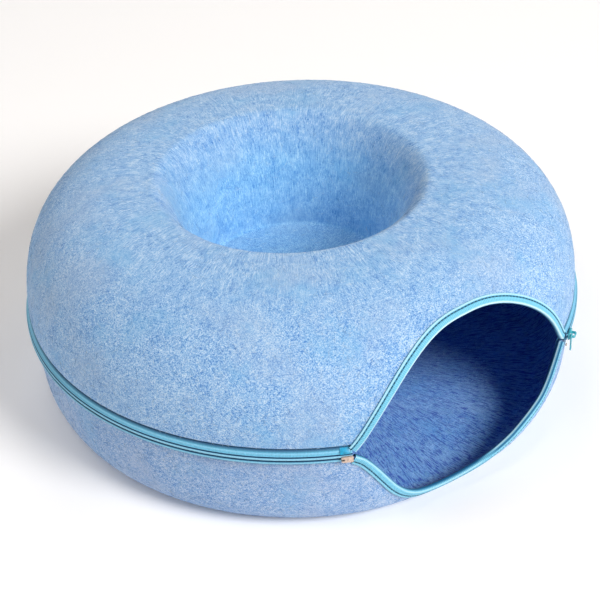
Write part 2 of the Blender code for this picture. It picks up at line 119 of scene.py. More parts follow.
# Tones across the lip's binding right of the middle: painted shade and a painted highlight, as if
# its fold rolled inwards.
LIP_TONE = (-0.6, -0.1, 0.1, 0.15, 0.1, -0.2, -0.35, -0.2, 0.0, 0.1, 0.1, 0.05, -0.45, -1.0, -1.0,
            0.1, 1.0, -0.9, -1.0)

# ---------------------------------------------------------------- the zip
# Each point is a distance out and a height in millimetres from the felt's face at the zip
# line, and a tone: below 0 painted shade, above 0 painted highlight.
UPPER_TAPE_OUTLINE = (
    (-5.1, 23.0, -0.4), (-4.8, 10.6, -0.8), (-3.7, 9.3, -0.9), (-0.9, 8.7, -0.85),
    (-0.3, 7.7, -0.6), (0.2, 7.0, -0.3), (0.7, 6.3, 0.3), (1.8, 5.0, 0.0), (2.3, 4.3, 0.1),
    (2.3, 4.0, -0.95), (1.5, 3.75, -1.0), (1.5, 3.25, -1.0), (2.4, 2.95, -0.95),
    (2.75, 2.7, 0.2), (3.0, 2.4, 0.5), (3.05, 1.8, 0.4), (2.95, 1.15, 0.1), (2.7, 0.75, -0.8),
    (2.2, 0.3, -1.0), (0.6, 0.3, -1.0), (0.2, 2.0, -0.4), (-1.0, 5.4, -0.4),
    (-4.4, 7.4, -0.4), (-5.8, 9.8, -0.4), (-6.1, 23.0, -0.4),
)
LOWER_TAPE_OUTLINE = (
    (2.2, -0.3, -1.0), (2.7, -0.65, -0.8), (2.95, -1.05, 0.1), (3.05, -1.7, 0.4),
    (3.0, -2.4, 0.1), (2.75, -2.9, -0.4), (2.3, -3.3, -0.8), (0.2, -3.9, -0.9),
    (-4.6, -3.9, -0.8), (-5.1, -6.0, -0.4), (-6.8, -18.0, -0.4), (-7.8, -18.0, -0.4),
    (-6.1, -5.6, -0.4), (-5.3, -2.9, -0.4), (-1.0, -2.9, -0.4), (0.2, -2.0, -0.4),
    (0.6, -0.3, -1.0),
)
TAPE_START = math.radians(28.6)
TOOTH_OUT = -0.0012          # middle of the zip's teeth, out from the felt's face
TEETH_INSET = 0.02           # angle between the end of the tapes and the first tooth

# Fittings: node, finish, slot and how wide its edges are rounded.
FITTINGS = (
    ("zip_box", "copper", "copper_metal", 0.0003),
    ("zip_slider", "teal enamel", "teal_metal", 0.0004),
    ("zip_pull", "teal enamel", "teal_metal", 0.0003),
    ("zip_stop", "copper", "copper_metal", 0.0003),
    ("film_patch_left", "bright film", "tape_film", 0.00015),
    ("film_patch_right", "bright film", "tape_film", 0.00015),
)
FITTING_WELD = 1e-5          # points of a solid nearer than this are one
FITTING_FLAT = math.radians(2.0)
FITTING_CORNER = math.radians(35.0)

# ---------------------------------------------------------------- the felt's fibres
# Loose fibres: piece, the felt they lie on, its slot, finish, about how many, and seed.
LOOSE_FIBRES = (
    ("fibres_pale_upper", "felt_upper", "upper_felt", "pale fibre", 6500, 3),
    ("fibres_deep_upper", "felt_upper", "upper_felt", "deep fibre", 5000, 4),
    ("fibres_pale_lower", "felt_lower", "lower_felt", "pale fibre", 7000, 5),
    ("fibres_deep_lower", "felt_lower", "lower_felt", "deep fibre", 6000, 6),
)
EXPOSED_AREA = 0.3           # outer felt of one shell in square metres, roughly
LAY_RADIUS = 0.2             # the pattern is wrapped round a drum of this radius
LAY_STRETCH = 0.14           # and is this much shorter along the fibres than across them
LAY_TWIST = 4.2              # crossed fibres turn this much for each metre along them
INNER_OFFSET = 0.7           # keeps the inner face's pattern apart from the outer one's
INSIDE_BOUNCE_TINT = (0.68, 0.98, 1.20)         # painted bounced light: multiplies the colour of felt inside the cave
WELL_BOUNCE_TINT = (0.84, 1.07, 1.08)         # and down in the well

# ---------------------------------------------------------------- the studio
# Lights: name, degrees round from the entrance, degrees up, distance and size in metres,
# power in watts, and how much of their blue is left.
STUDIO_LIGHTS = (
    ("key light", 11.0, 37.0, 5.5, 2.3, 272.0, 0.97),
    ("low front light", 34.0, 26.0, 2.4, 0.8, 8.0, 1.0),
    ("top light", -95.0, 66.0, 2.4, 1.5, 14.0, 0.86),
    ("right light", 100.0, 35.0, 2.4, 1.2, 4.5, 0.80),
    ("back light", 150.0, 40.0, 2.4, 1.2, 10.0, 0.96),
    ("left light", -100.0, 35.0, 2.4, 1.2, 7.5, 0.94),
    ("low left light", -120.0, 15.0, 2.4, 1.0, 3.5, 0.95),
)
LIGHT_AIM = Vector((0.0, 0.0, 0.08))
SURROUND_COLOUR = (0.97, 0.985, 1.0, 1.0)
FLOOR_HALF = 12.0
FLOOR_DROP = 0.0002          # keeps the floor clear of the base
CAMERA_LENS = 94.459         # millimetres, on a sensor 36 mm wide
CAMERA_PLACE = Matrix((
    (0.78729, 0.38485, -0.48172, -0.70283),
    (-0.61537, 0.44157, -0.65295, -0.94983),
    (-0.03858, 0.81050, 0.58447, 0.91658),
    (0.0, 0.0, 0.0, 1.0),
))

# ---------------------------------------------------------------- fineness
ENTRANCE_COLUMNS = 130
BACK_COLUMNS = 250
EDGE_ROWS = (0.0, 0.0002, 0.0005, 0.0010, 0.0018, 0.0032, 0.0058)
TAPE_STEP = 0.0018
BINDING_COLUMNS = 420


# ---------------------------------------------------------------- outlines
class Outline:
    """A turned outline of (radius, height) points, measured along its length."""

    def __init__(self, chain, felt_side):
        self.points = np.array(chain, float)
        step = np.linalg.norm(np.diff(self.points, axis=0), axis=1)
        self.length = np.concatenate([[0.0], np.cumsum(step)])
        slope = np.gradient(self.points, self.length, axis=0)
        slope /= np.linalg.norm(slope, axis=1)[:, None]
        self.normal = np.stack([slope[:, 1], -slope[:, 0]], 1) * felt_side

    def place(self, along, lift=0.0):
        """Radius and height at a length along the outline and a distance out from it."""
        radius = np.interp(along, self.length, self.points[:, 0])
        height = np.interp(along, self.length, self.points[:, 1])
        out_r, out_z = self.out(along)
        return radius + out_r * lift, height + out_z * lift

    def out(self, along):
        """The outward direction at a length along the outline."""
        return (np.interp(along, self.length, self.normal[:, 0]),
                np.interp(along, self.length, self.normal[:, 1]))

    def at_height(self, height, count):
        """The length at which the first count points of the outline reach a height."""
        heights, lengths = self.points[:count, 1], self.length[:count]
        if heights[-1] < heights[0]:
            heights, lengths = heights[::-1], lengths[::-1]
        return np.interp(height, heights, lengths)

    def nearest(self, radius, height):
        """The length along the outline of the point nearest to each given one."""
        radius, height = np.asarray(radius), np.asarray(height)
        gap = np.hypot(radius[..., None] - self.points[:, 0], height[..., None] - self.points[:, 1])
        return self.length[gap.argmin(-1)]


def quarter(start_r, start_z, end_r, end_z, spread, rise, steps):
    """A superellipse quarter that starts upright and ends level."""
    angle = np.linspace(0.0, 0.5 * math.pi, steps + 1)
    side = np.maximum(np.cos(angle), 0.0) ** (2 / spread)
    up = np.sin(angle) ** (2 / rise)
    return list(zip(end_r + (start_r - end_r) * side, start_z + (end_z - start_z) * up))


def bend(start, corner, end, steps):
    """Points on a curve that turns a corner, after its start."""
    t = np.linspace(0.0, 1.0, steps + 1)[1:, None]
    start, corner, end = (np.array(p) for p in (start, corner, end))
    return [tuple(p) for p in (1 - t) ** 2 * start + 2 * t * (1 - t) * corner + t * t * end]


def upper_outline():
    """The upper shell's outer face, and how many of its points lead to the crest and the foot."""
    shoulder = quarter(FELT_RADIUS, ZIP_HEIGHT, CREST_RADIUS, TOTAL_HEIGHT,
                       SHOULDER_SPREAD, SHOULDER_RISE, 900)
    wall = quarter(WELL_RADIUS, WELL_FLOOR_HEIGHT, CREST_RADIUS, TOTAL_HEIGHT,
                   WELL_SPREAD, WELL_DROP, 400)[::-1]
    wall = [point for point in wall if point[1] > WELL_FLOOR_HEIGHT + WELL_FILLET]
    foot = bend(wall[-1], (wall[-1][0], WELL_FLOOR_HEIGHT),
                (WELL_RADIUS - WELL_FILLET, WELL_FLOOR_HEIGHT), WELL_FILLET_STEPS)
    floor = [(radius, WELL_FLOOR_HEIGHT) for radius in (WELL_RADIUS * 0.6, 0.02, MIDDLE_RADIUS)]
    chain = shoulder + wall[1:] + foot + floor
    return Outline(chain, 1.0), len(shoulder), len(shoulder) + len(wall) - 1


def lower_outline():
    """The lower shell's outer face, and how many of its points lead to the flat base."""
    corner_radius = FELT_RADIUS - LOWER_WALL_LEAN * (ZIP_HEIGHT - BASE_CORNER)
    foot_radius = FELT_RADIUS - LOWER_WALL_LEAN * ZIP_HEIGHT - BASE_TUCK
    top, corner = (FELT_RADIUS, ZIP_HEIGHT), (corner_radius, BASE_CORNER)
    wall = bend(top, tuple((np.array(top) + corner) / 2), corner, 60)
    turn = bend(corner, (foot_radius, 0.0), (BASE_FLAT_RADIUS, 0.0), 60)
    chain = [top] + wall + turn
    base = [(BASE_FLAT_RADIUS * 0.5, 0.0), (MIDDLE_RADIUS, 0.0)]
    return Outline(chain + base, -1.0), len(chain)


def arch_height(angle):
    """Height of the upper shell's cut edge over the entrance."""
    share = np.minimum(np.abs(angle - ARCH_MIDDLE) / ARCH_HALF_ANGLE, 1.0)
    full = (1 - share ** ARCH_ROUND) * (1 - ARCH_FOOT * share ** ARCH_FOOT_POWER)
    return ZIP_HEIGHT + ARCH_RISE * full


def lip_height(angle):
    """Height of the lower shell's cut edge under the entrance, smooth through its table."""
    at = np.degrees(np.atleast_1d(angle))
    table = np.array(LIP_EDGE)
    index = np.clip(np.searchsorted(table[:, 0], at, side="right") - 1, 0, len(table) - 2)
    here, after = table[index], table[index + 1]
    before = table[np.maximum(index - 1, 0)]
    beyond = table[np.minimum(index + 2, len(table) - 1)]
    width = after[:, 0] - here[:, 0]
    slope0 = (after[:, 1] - before[:, 1]) / (after[:, 0] - before[:, 0]) * width
    slope1 = (beyond[:, 1] - here[:, 1]) / (beyond[:, 0] - here[:, 0]) * width
    t = np.clip((at - here[:, 0]) / width, 0.0, 1.0)
    height = here[:, 1] * (1 + 2 * t) * (1 - t) ** 2 + slope0 * t * (1 - t) ** 2
    height += after[:, 1] * t * t * (3 - 2 * t) + slope1 * t * t * (t - 1)
    outside = (at <= table[0, 0]) | (at >= table[-1, 0])
    return np.where(outside, ZIP_HEIGHT, height / 1000).reshape(np.shape(angle))


def wrap(angle):
    """The same angle between minus and plus half a turn."""
    return (np.asarray(angle) + math.pi) % (2 * math.pi) - math.pi


def felt_thickness(angle, inward):
    """Thickness of the felt at a distance in from its free edge, thinner where it is bound."""
    pressed = np.clip((PRESSED_END - np.abs(wrap(angle))) / PRESSED_FADE, 0.0, 1.0)
    share = np.clip(inward / EDGE_TAPER, 0.0, 1.0)
    return FELT - (FELT - FELT_EDGE) * (1 - share) * pressed


def turned(angle, radius, height):
    """Points at angles from the entrance's middle, which is at -Y."""
    angle, radius, height = np.broadcast_arrays(angle, radius, height)
    return np.stack([radius * np.sin(angle), -radius * np.cos(angle), height], -1)


def draw_in(points):
    """Shift points of the lower shell with the sag under the entrance."""
    angle = np.arctan2(points[..., 0], -points[..., 1])
    share = np.minimum(np.abs(angle - SAG_MIDDLE) / SAG_HALF_ANGLE, 1.0)
    radius = np.hypot(points[..., 0], points[..., 1])
    moved = SAG * np.cos(0.5 * math.pi * share) ** 2 * (radius / FELT_RADIUS) ** 2
    return turned(angle, radius - moved, points[..., 2])


def settle(points):
    """Shift points of the upper shell with its uneven crown and well."""
    radius = np.hypot(points[..., 0], points[..., 1])
    rim = FELT_RADIUS - FELT
    crown = np.clip((rim - radius) / (rim - CREST_RADIUS), 0.0, 1.0)[..., None]
    well = np.clip((CREST_RADIUS - radius) / CREST_RADIUS, 0.0, 1.0)[..., None]
    return points + np.array((*CROWN_SHIFT, 0.0)) * crown + np.array((*WELL_SHIFT, 0.0)) * well


# ---------------------------------------------------------------- meshes
def new_object(name, points, faces, finish, smooth_angle=50.0):
    """One mesh object at the origin from points and faces, with smooth shading."""
    mesh = bpy.data.meshes.new(name)
    mesh.from_pydata(np.asarray(points).reshape(-1, 3).tolist(), [], faces)
    mesh.validate()
    mesh.shade_smooth()
    mesh.set_sharp_from_angle(angle=math.radians(smooth_angle))
    mesh.materials.append(finish)
    made = bpy.data.objects.new(name, mesh)
    bpy.context.scene.collection.objects.link(made)
    return made


def face_outwards(made):
    """Turn all faces of a closed mesh outwards."""
    shell = bmesh.new()
    shell.from_mesh(made.data)
    bmesh.ops.recalc_face_normals(shell, faces=shell.faces)
    shell.to_mesh(made.data)
    shell.free()


def put_attribute(made, name, kind, values):
    """Store one number or one vector for each point of a mesh."""
    attribute = made.data.attributes.new(name, kind, "POINT")
    key = "value" if kind == "FLOAT" else "vector"
    attribute.data.foreach_set(key, np.asarray(values, np.float32).ravel())


def strip_faces(columns, rows, closed_columns, closed_rows, first=0):
    """Faces of a grid of points that runs column by column."""
    faces = []
    for i in range(columns if closed_columns else columns - 1):
        left, right = first + i * rows, first + (i + 1) % columns * rows
        for j in range(rows if closed_rows else rows - 1):
            k = (j + 1) % rows
            faces.append((left + j, right + j, right + k, left + k))
    return faces


def column_angles():
    """Angles of the shells' columns: close together over the entrance, wider behind."""
    share = np.linspace(-1.0, 1.0, ENTRANCE_COLUMNS + 1)
    front = ENTRANCE_FRONT * np.sin(0.5 * math.pi * share)
    back = np.linspace(front[-1], 2 * math.pi - front[-1], BACK_COLUMNS + 1)[1:-1]
    return np.concatenate([front, back])


def lay_of_fibres(made, angle, along, combed, exposed):
    """Store, for the felt's pattern, coordinates drawn out along the fibres' directions."""
    for name, twist in (("lay_down", 0.0), ("lay_left", LAY_TWIST), ("lay_right", -LAY_TWIST)):
        lay = turned(angle + twist * along, LAY_RADIUS, along * LAY_STRETCH)
        put_attribute(made, name, "FLOAT_VECTOR", lay)
    put_attribute(made, "lay_round", "FLOAT_VECTOR",
                  turned(angle, LAY_RADIUS * LAY_STRETCH, along))
    put_attribute(made, "combed", "FLOAT", combed)
    put_attribute(made, "exposed", "FLOAT", exposed)


def felt_shell(name, finish, outline, starts, free_rows, fixed_rows, shape, combing, exposing):
    """One closed shell of felt with a rounded free edge and a closed middle."""
    angles = column_angles()
    first = starts + EDGE_ROWS[-1]
    edge = starts[:, None] + np.array(EDGE_ROWS)
    free = first[:, None] + (fixed_rows[0] - first[:, None]) * np.arange(1, free_rows) / free_rows
    fixed = np.broadcast_to(fixed_rows, (len(angles), len(fixed_rows)))
    along = np.concatenate([edge, free, fixed], 1)
    angle = np.broadcast_to(angles[:, None], along.shape)
    inward = along - starts[:, None]
    thickness = felt_thickness(angle, inward)
    rounding = EDGE_ROUNDING * thickness
    short = np.clip(1 - inward / rounding, 0.0, 1.0)
    eased = rounding * (1 - np.sqrt(1 - short ** 2))
    layers = []
    for lift in (-eased, eased - thickness):
        radius, height = outline.place(along, lift)
        layers.append(shape(turned(angle, np.maximum(radius, MIDDLE_RADIUS), height)))
    columns, rows = along.shape
    count = columns * rows
    points = np.concatenate([layer.reshape(-1, 3) for layer in layers])
    middles = [layer[:, -1].mean(0) for layer in layers]
    points = np.concatenate([points, middles])
    faces = strip_faces(columns, rows, True, False)
    faces += strip_faces(columns, rows, True, False, count)
    for i in range(columns):
        after = (i + 1) % columns
        faces.append((i * rows, after * rows, count + after * rows, count + i * rows))
        for side in (0, 1):
            last, other = side * count + (i + 1) * rows - 1, side * count + (after + 1) * rows - 1
            faces.append((last, other, 2 * count + side))
    made = new_object(name, points, faces, finish)
    face_outwards(made)
    both = np.concatenate([angle.ravel(), angle.ravel(), [0.0, 0.0]])
    length = np.concatenate([along.ravel(), along.ravel() + INNER_OFFSET, [along.max()] * 2])
    combed, exposed = combing(along).ravel(), exposing(along).ravel()
    lay_of_fibres(made, both, length, np.concatenate([combed, combed, [0.0, 0.0]]),
                  np.concatenate([exposed, 0 * exposed, [exposed[-1], 0.0]]))
    return made


def build_upper_felt(finish):
    """The ring with its arch cut away and the closed well in its middle."""
    outline, crest_count, foot_count = upper_outline()
    crest, foot = outline.length[crest_count - 1], outline.length[foot_count - 1]
    corner = outline.length[foot_count + WELL_FILLET_STEPS - 1]
    end = outline.length[-1]
    rows = np.concatenate([
        np.linspace(crest, foot, 44), np.linspace(foot, corner, 5)[1:],
        corner + (end - corner) * np.linspace(0.0, 1.0, 20)[1:],
    ])
    height = np.maximum(arch_height(wrap(column_angles())), UPPER_RIM_HEIGHT)
    starts = outline.at_height(height, crest_count)

    def combing(along):
        """How far the fibres are combed down into the well."""
        rising = np.clip((along - crest + 0.09) / 0.06, 0.0, 1.0)
        falling = np.clip((foot + 0.004 - along) / 0.004, 0.0, 1.0)
        return rising * falling

    def exposing(along):
        """How open the felt lies to the light, less down in the well."""
        sunken = np.clip((along - crest - 0.008) / 0.055, 0.0, 1.0)
        return 1.0 - 0.5 * sunken * sunken * (3 - 2 * sunken)

    return felt_shell("felt_upper", finish, outline, starts, 52, rows, settle, combing, exposing)


def build_lower_felt(finish):
    """The dish with its lip cut down and its flat base."""
    outline, flat_count = lower_outline()
    flat, end = outline.length[flat_count - 1], outline.length[-1]
    turn = outline.at_height(0.0030, flat_count)
    rows = np.concatenate([
        np.linspace(turn, flat, 7), flat + (end - flat) * np.linspace(0.0, 1.0, 46)[1:],
    ])
    height = np.minimum(lip_height(wrap(column_angles())), LOWER_RIM_HEIGHT)
    starts = outline.at_height(height, flat_count)

    def combing(along):
        """How far the fibres are combed round the base's corner."""
        return np.clip(0.5 - np.abs(along - flat) / 0.08, 0.0, 0.5)

    def exposing(along):
        """Whether the felt shows: not under the base."""
        return np.clip((flat - along) / 0.004, 0.0, 1.0)

    return felt_shell("felt_lower", finish, outline, starts, 30, rows, draw_in, combing, exposing)


def build_band(name, finish, sections, along, across, tone):
    """Skin a row of equal closed sections into one solid, with its map and its painted shade and
    highlight.
    """
    columns, rows = sections.shape[:2]
    faces = strip_faces(columns, rows, False, True)
    faces.append(tuple(range(rows))[::-1])
    faces.append(tuple((columns - 1) * rows + i for i in range(rows)))
    made = new_object(name, sections, faces, finish, 60.0)
    face_outwards(made)
    flat = np.zeros((columns, rows, 3))
    flat[..., 0] = along[:, None]
    flat[..., 1] = across
    # The tone: painted shade below 0, painted highlight above 0.
    flat[..., 2] = tone
    put_attribute(made, "weave", "FLOAT_VECTOR", flat)
    return made


def run_across(section):
    """How far round its section each point of a band lies."""
    gaps = np.linalg.norm(np.diff(section, axis=0), axis=1)
    return np.concatenate([[0.0], np.cumsum(gaps)])


def build_tape(name, finish, outline):
    """A zip tape, turned round the rim from one end of the entrance to the other."""
    span = 2 * math.pi - 2 * TAPE_START
    angles = TAPE_START + span * np.linspace(0.0, 1.0, round(span * FELT_RADIUS / TAPE_STEP))
    section = np.array(outline)[:, :2] / 1000
    # Painted shade and highlight of each point of the section.
    tone = np.array(outline)[:, 2]
    points = turned(angles[:, None], FELT_RADIUS + section[:, 0], ZIP_HEIGHT + section[:, 1])
    return build_band(name, finish, points, angles * FELT_RADIUS, run_across(section), tone)


def binding_frame(outline, count, edge_height, into_felt):
    """Along a cut edge, evenly: angles, points, the way into the felt and the way outwards."""
    angles = ENTRANCE_END * np.sin(0.5 * math.pi * np.linspace(-1.0, 1.0, 4001))
    start = outline.at_height(edge_height(angles), count)
    points = turned(angles, *outline.place(start))
    run = run_across(points)
    even = np.interp(np.linspace(0.0, run[-1], BINDING_COLUMNS), run, angles)
    start = outline.at_height(edge_height(even), count)
    points = turned(even, *outline.place(start))
    step = 0.0015
    ends = [turned(even + turn, *outline.place(outline.at_height(edge_height(even + turn), count)))
            for turn in (-step, step)]
    out_r, out_z = outline.out(start)
    across = np.cross(ends[1] - ends[0], turned(even, out_r, out_z))
    across /= np.linalg.norm(across, axis=1)[:, None]
    across *= np.sign(across[:, 2:] * into_felt)
    return even, points, across, np.stack([out_r, out_z], 1)


def on_binding(outline, count, edge_height, shape, place, section):
    """Points of a binding, from a section of (distance, side, stand-off) points.

    Distance is in from the cut edge. Side runs from 1, on the felt's outer face, to -1, on
    its inner one, round the fold. Stand-off is how far the point lies from the felt there.
    """
    angles, points, across, _ = place
    rings = []
    for distance, side, off in section:
        spot = points + across * max(distance, 0.0)
        here = np.arctan2(spot[:, 0], -spot[:, 1])
        along = outline.nearest(np.hypot(spot[:, 0], spot[:, 1]), spot[:, 2])
        if distance <= 0:
            along = outline.at_height(edge_height(angles), count)
        start = outline.at_height(edge_height(here), count)
        thickness = felt_thickness(np.zeros_like(angles), along - start)
        lift = off * (1 + side) / 2 - (thickness + off) * (1 - side) / 2
        radius, height = outline.place(along, lift)
        placed = turned(here, radius, height) + across * min(distance, 0.0)
        rings.append(shape(placed))
    return np.stack(rings, 1)


def binding_section():
    """The folded tape's section: outer leg with its stitch valley, the fold, a short leg inside.

    The last number of each point is its tone: below 0 painted shade, above 0 painted highlight.
    """
    near, near_in = BINDING_EASE, BINDING_EASE_INSIDE
    far, far_in = near + BINDING_THICK, near_in + BINDING_THICK
    wide, valley = BINDING_WIDTH, BINDING_WIDTH * STITCH_IN
    section = [
        # Painted shade at the outer edge and in the stitch valley, painted highlight on the outer
        # strip.
        (wide, 1, near, -0.9), (wide + 0.0001, 1, far - 0.0003, -0.5),
        (wide - 0.0003, 1, far, 0.35), (wide - 0.0010, 1, far + 0.0001, 0.5),
        (valley + 0.0010, 1, far, 0.25),
        (valley + 0.0006, 1, far - 0.0001, -0.5), (valley, 1, far - 0.0004, -0.95),
        (valley - 0.0006, 1, far - 0.0001, -0.5), (valley - 0.0010, 1, far, 0.0),
        (valley * 0.5, 1, far + 0.0002, 0.0), (0.0012, 1, far + 0.0001, -0.15),
        (0.0004, 1, far, 0.0),
    ]
    # The fold: a painted highlight on its top, painted shade inside it.
    for step, tone in enumerate((0.7, 0.85, 0.3, -0.6, -1.0, -1.0, -1.0), 1):
        turn = math.pi * step / 8
        lift = far + (far_in - far) * step / 8
        section.append((-far * math.sin(turn), math.cos(turn), lift, tone))
    # The inner leg lies in painted shade.
    section += [(0.0005, -1, far_in, -1.0), (BINDING_TURN, -1, far_in, -1.0),
                (BINDING_TURN, -1, near_in, -1.0), (-near, -1, near_in, -1.0),
                (-near, 1, near, -1.0), (wide * 0.5, 1, near, -1.0)]
    return section


def build_binding(name, finish, outline, count, edge_height, into_felt, shape):
    """Folded tape over a cut edge, the line that its stitches follow, and the way outwards."""
    place = binding_frame(outline, count, edge_height, into_felt)
    section = binding_section()
    points = on_binding(outline, count, edge_height, shape, place,
                        [point[:3] for point in section])
    along = run_across(place[1])
    across = run_across(points[len(points) // 2])
    # Painted shade and highlight across the binding.
    tone = np.tile([point[3] for point in section], (len(along), 1))
    if into_felt < 0:
        # Right of the middle the lip's tones fade over to its painted shade and highlight.
        lip_shade_share = np.clip((np.degrees(place[0]) - LIP_SHADE_SPAN[0]) / (LIP_SHADE_SPAN[1] - LIP_SHADE_SPAN[0]),
                            0.0, 1.0)[:, None]
        lip_tones = np.tile(LIP_TONE, (len(along), 1))
        tone[:, 2:5] = 0.15      # the lip's outer rim gets less painted highlight than the arch's
        tone[:, 12:15] -= 0.4    # and its fold starts in shade
        tone[:, :len(LIP_TONE)] += lip_shade_share * (lip_tones - tone[:, :len(LIP_TONE)])
    made = build_band(name, finish, points, along, across, tone)
    lift = BINDING_EASE + BINDING_THICK - STITCH_SINK
    line = on_binding(outline, count, edge_height, shape, place,
                      [(BINDING_WIDTH * STITCH_IN, 1, lift)])[:, 0]
    return made, line, turned(place[0], *place[3].T)


# ---------------------------------------------------------------- repeated pieces
def plain_mesh(made):
    """Apply an object's modifiers, and leave a plain mesh at the origin."""
    evaluated = made.evaluated_get(bpy.context.evaluated_depsgraph_get())
    mesh = bpy.data.meshes.new_from_object(evaluated)
    made.modifiers.clear()
    made.data = mesh
    return made


def new_tree(name, inputs):
    """A geometry tree with named inputs, its input and output nodes."""
    tree = bpy.data.node_groups.new(name, "GeometryNodeTree")
    tree.interface.new_socket("Geometry", in_out="OUTPUT", socket_type="NodeSocketGeometry")
    tree.interface.new_socket("Geometry", in_out="INPUT", socket_type="NodeSocketGeometry")
    for label, kind in inputs:
        tree.interface.new_socket(label, in_out="INPUT", socket_type="NodeSocket" + kind)
    return tree, tree.nodes.new("NodeGroupInput"), tree.nodes.new("NodeGroupOutput")


def give_inputs(made, tree, values):
    """Put a geometry tree on an object and set its named inputs."""
    modifier = made.modifiers.new(tree.name, "NODES")
    modifier.node_group = tree
    for item in tree.interface.items_tree:
        if item.in_out == "INPUT" and item.name in values:
            modifier[item.identifier] = values[item.name]


def end_with_copies(tree, start, end, points, copy, turn, scale):
    """Put a copy at each point, made real and given the finish that the tree is handed."""
    instance = tree.nodes.new("GeometryNodeInstanceOnPoints")
    realize = tree.nodes.new("GeometryNodeRealizeInstances")
    paint = tree.nodes.new("GeometryNodeSetMaterial")
    for source, target in (
        (points, instance.inputs["Points"]), (copy, instance.inputs["Instance"]),
        (turn, instance.inputs["Rotation"]), (scale, instance.inputs["Scale"]),
        (instance.outputs["Instances"], realize.inputs["Geometry"]),
        (realize.outputs["Geometry"], paint.inputs["Geometry"]),
        (start.outputs["Finish"], paint.inputs["Material"]),
        (paint.outputs["Geometry"], end.inputs["Geometry"]),
    ):
        tree.links.new(source, target)
    return tree


def bead_tree():
    """Rows of small rounded beads along a line, such as stitches or zip teeth."""
    tree, start, end = new_tree("beads along a line", (
        ("Spacing", "Float"), ("Size", "Vector"), ("Sides", "Int"), ("Finish", "Material")))
    nodes, link = tree.nodes, tree.links.new
    curve = nodes.new("GeometryNodeMeshToCurve")
    resample = nodes.new("GeometryNodeResampleCurve")
    resample.mode = "LENGTH"
    bead = nodes.new("GeometryNodeMeshUVSphere")
    bead.inputs["Radius"].default_value = 0.5
    bead.inputs["Rings"].default_value = 5
    out = nodes.new("GeometryNodeInputNamedAttribute")
    out.data_type = "FLOAT_VECTOR"
    out.inputs["Name"].default_value = "out"
    tangent = nodes.new("GeometryNodeInputTangent")
    lengthwise = nodes.new("FunctionNodeAlignRotationToVector")
    lengthwise.axis = "X"
    upright = nodes.new("FunctionNodeAlignRotationToVector")
    upright.axis = "Z"
    upright.pivot_axis = "X"
    link(start.outputs["Geometry"], curve.inputs["Mesh"])
    link(curve.outputs["Curve"], resample.inputs["Curve"])
    link(start.outputs["Spacing"], resample.inputs["Length"])
    link(start.outputs["Sides"], bead.inputs["Segments"])
    link(tangent.outputs["Tangent"], lengthwise.inputs["Vector"])
    link(lengthwise.outputs["Rotation"], upright.inputs["Rotation"])
    link(out.outputs["Attribute"], upright.inputs["Vector"])
    return end_with_copies(tree, start, end, resample.outputs["Curve"], bead.outputs["Mesh"],
                           upright.outputs["Rotation"], start.outputs["Size"])


def build_beads(name, finish, line, out, spacing, size, sides=6):
    """Beads along a line of points, lying on the surface whose outward directions are given."""
    mesh = bpy.data.meshes.new(name)
    edges = [(i, i + 1) for i in range(len(line) - 1)]
    mesh.from_pydata(line.tolist(), edges, [])
    made = bpy.data.objects.new(name, mesh)
    bpy.context.scene.collection.objects.link(made)
    put_attribute(made, "out", "FLOAT_VECTOR", out)
    tree = bpy.data.node_groups.get("beads along a line") or bead_tree()
    give_inputs(made, tree, {"Spacing": spacing, "Size": size, "Sides": sides, "Finish": finish})
    plain_mesh(made)
    made.data.shade_smooth()
    return made


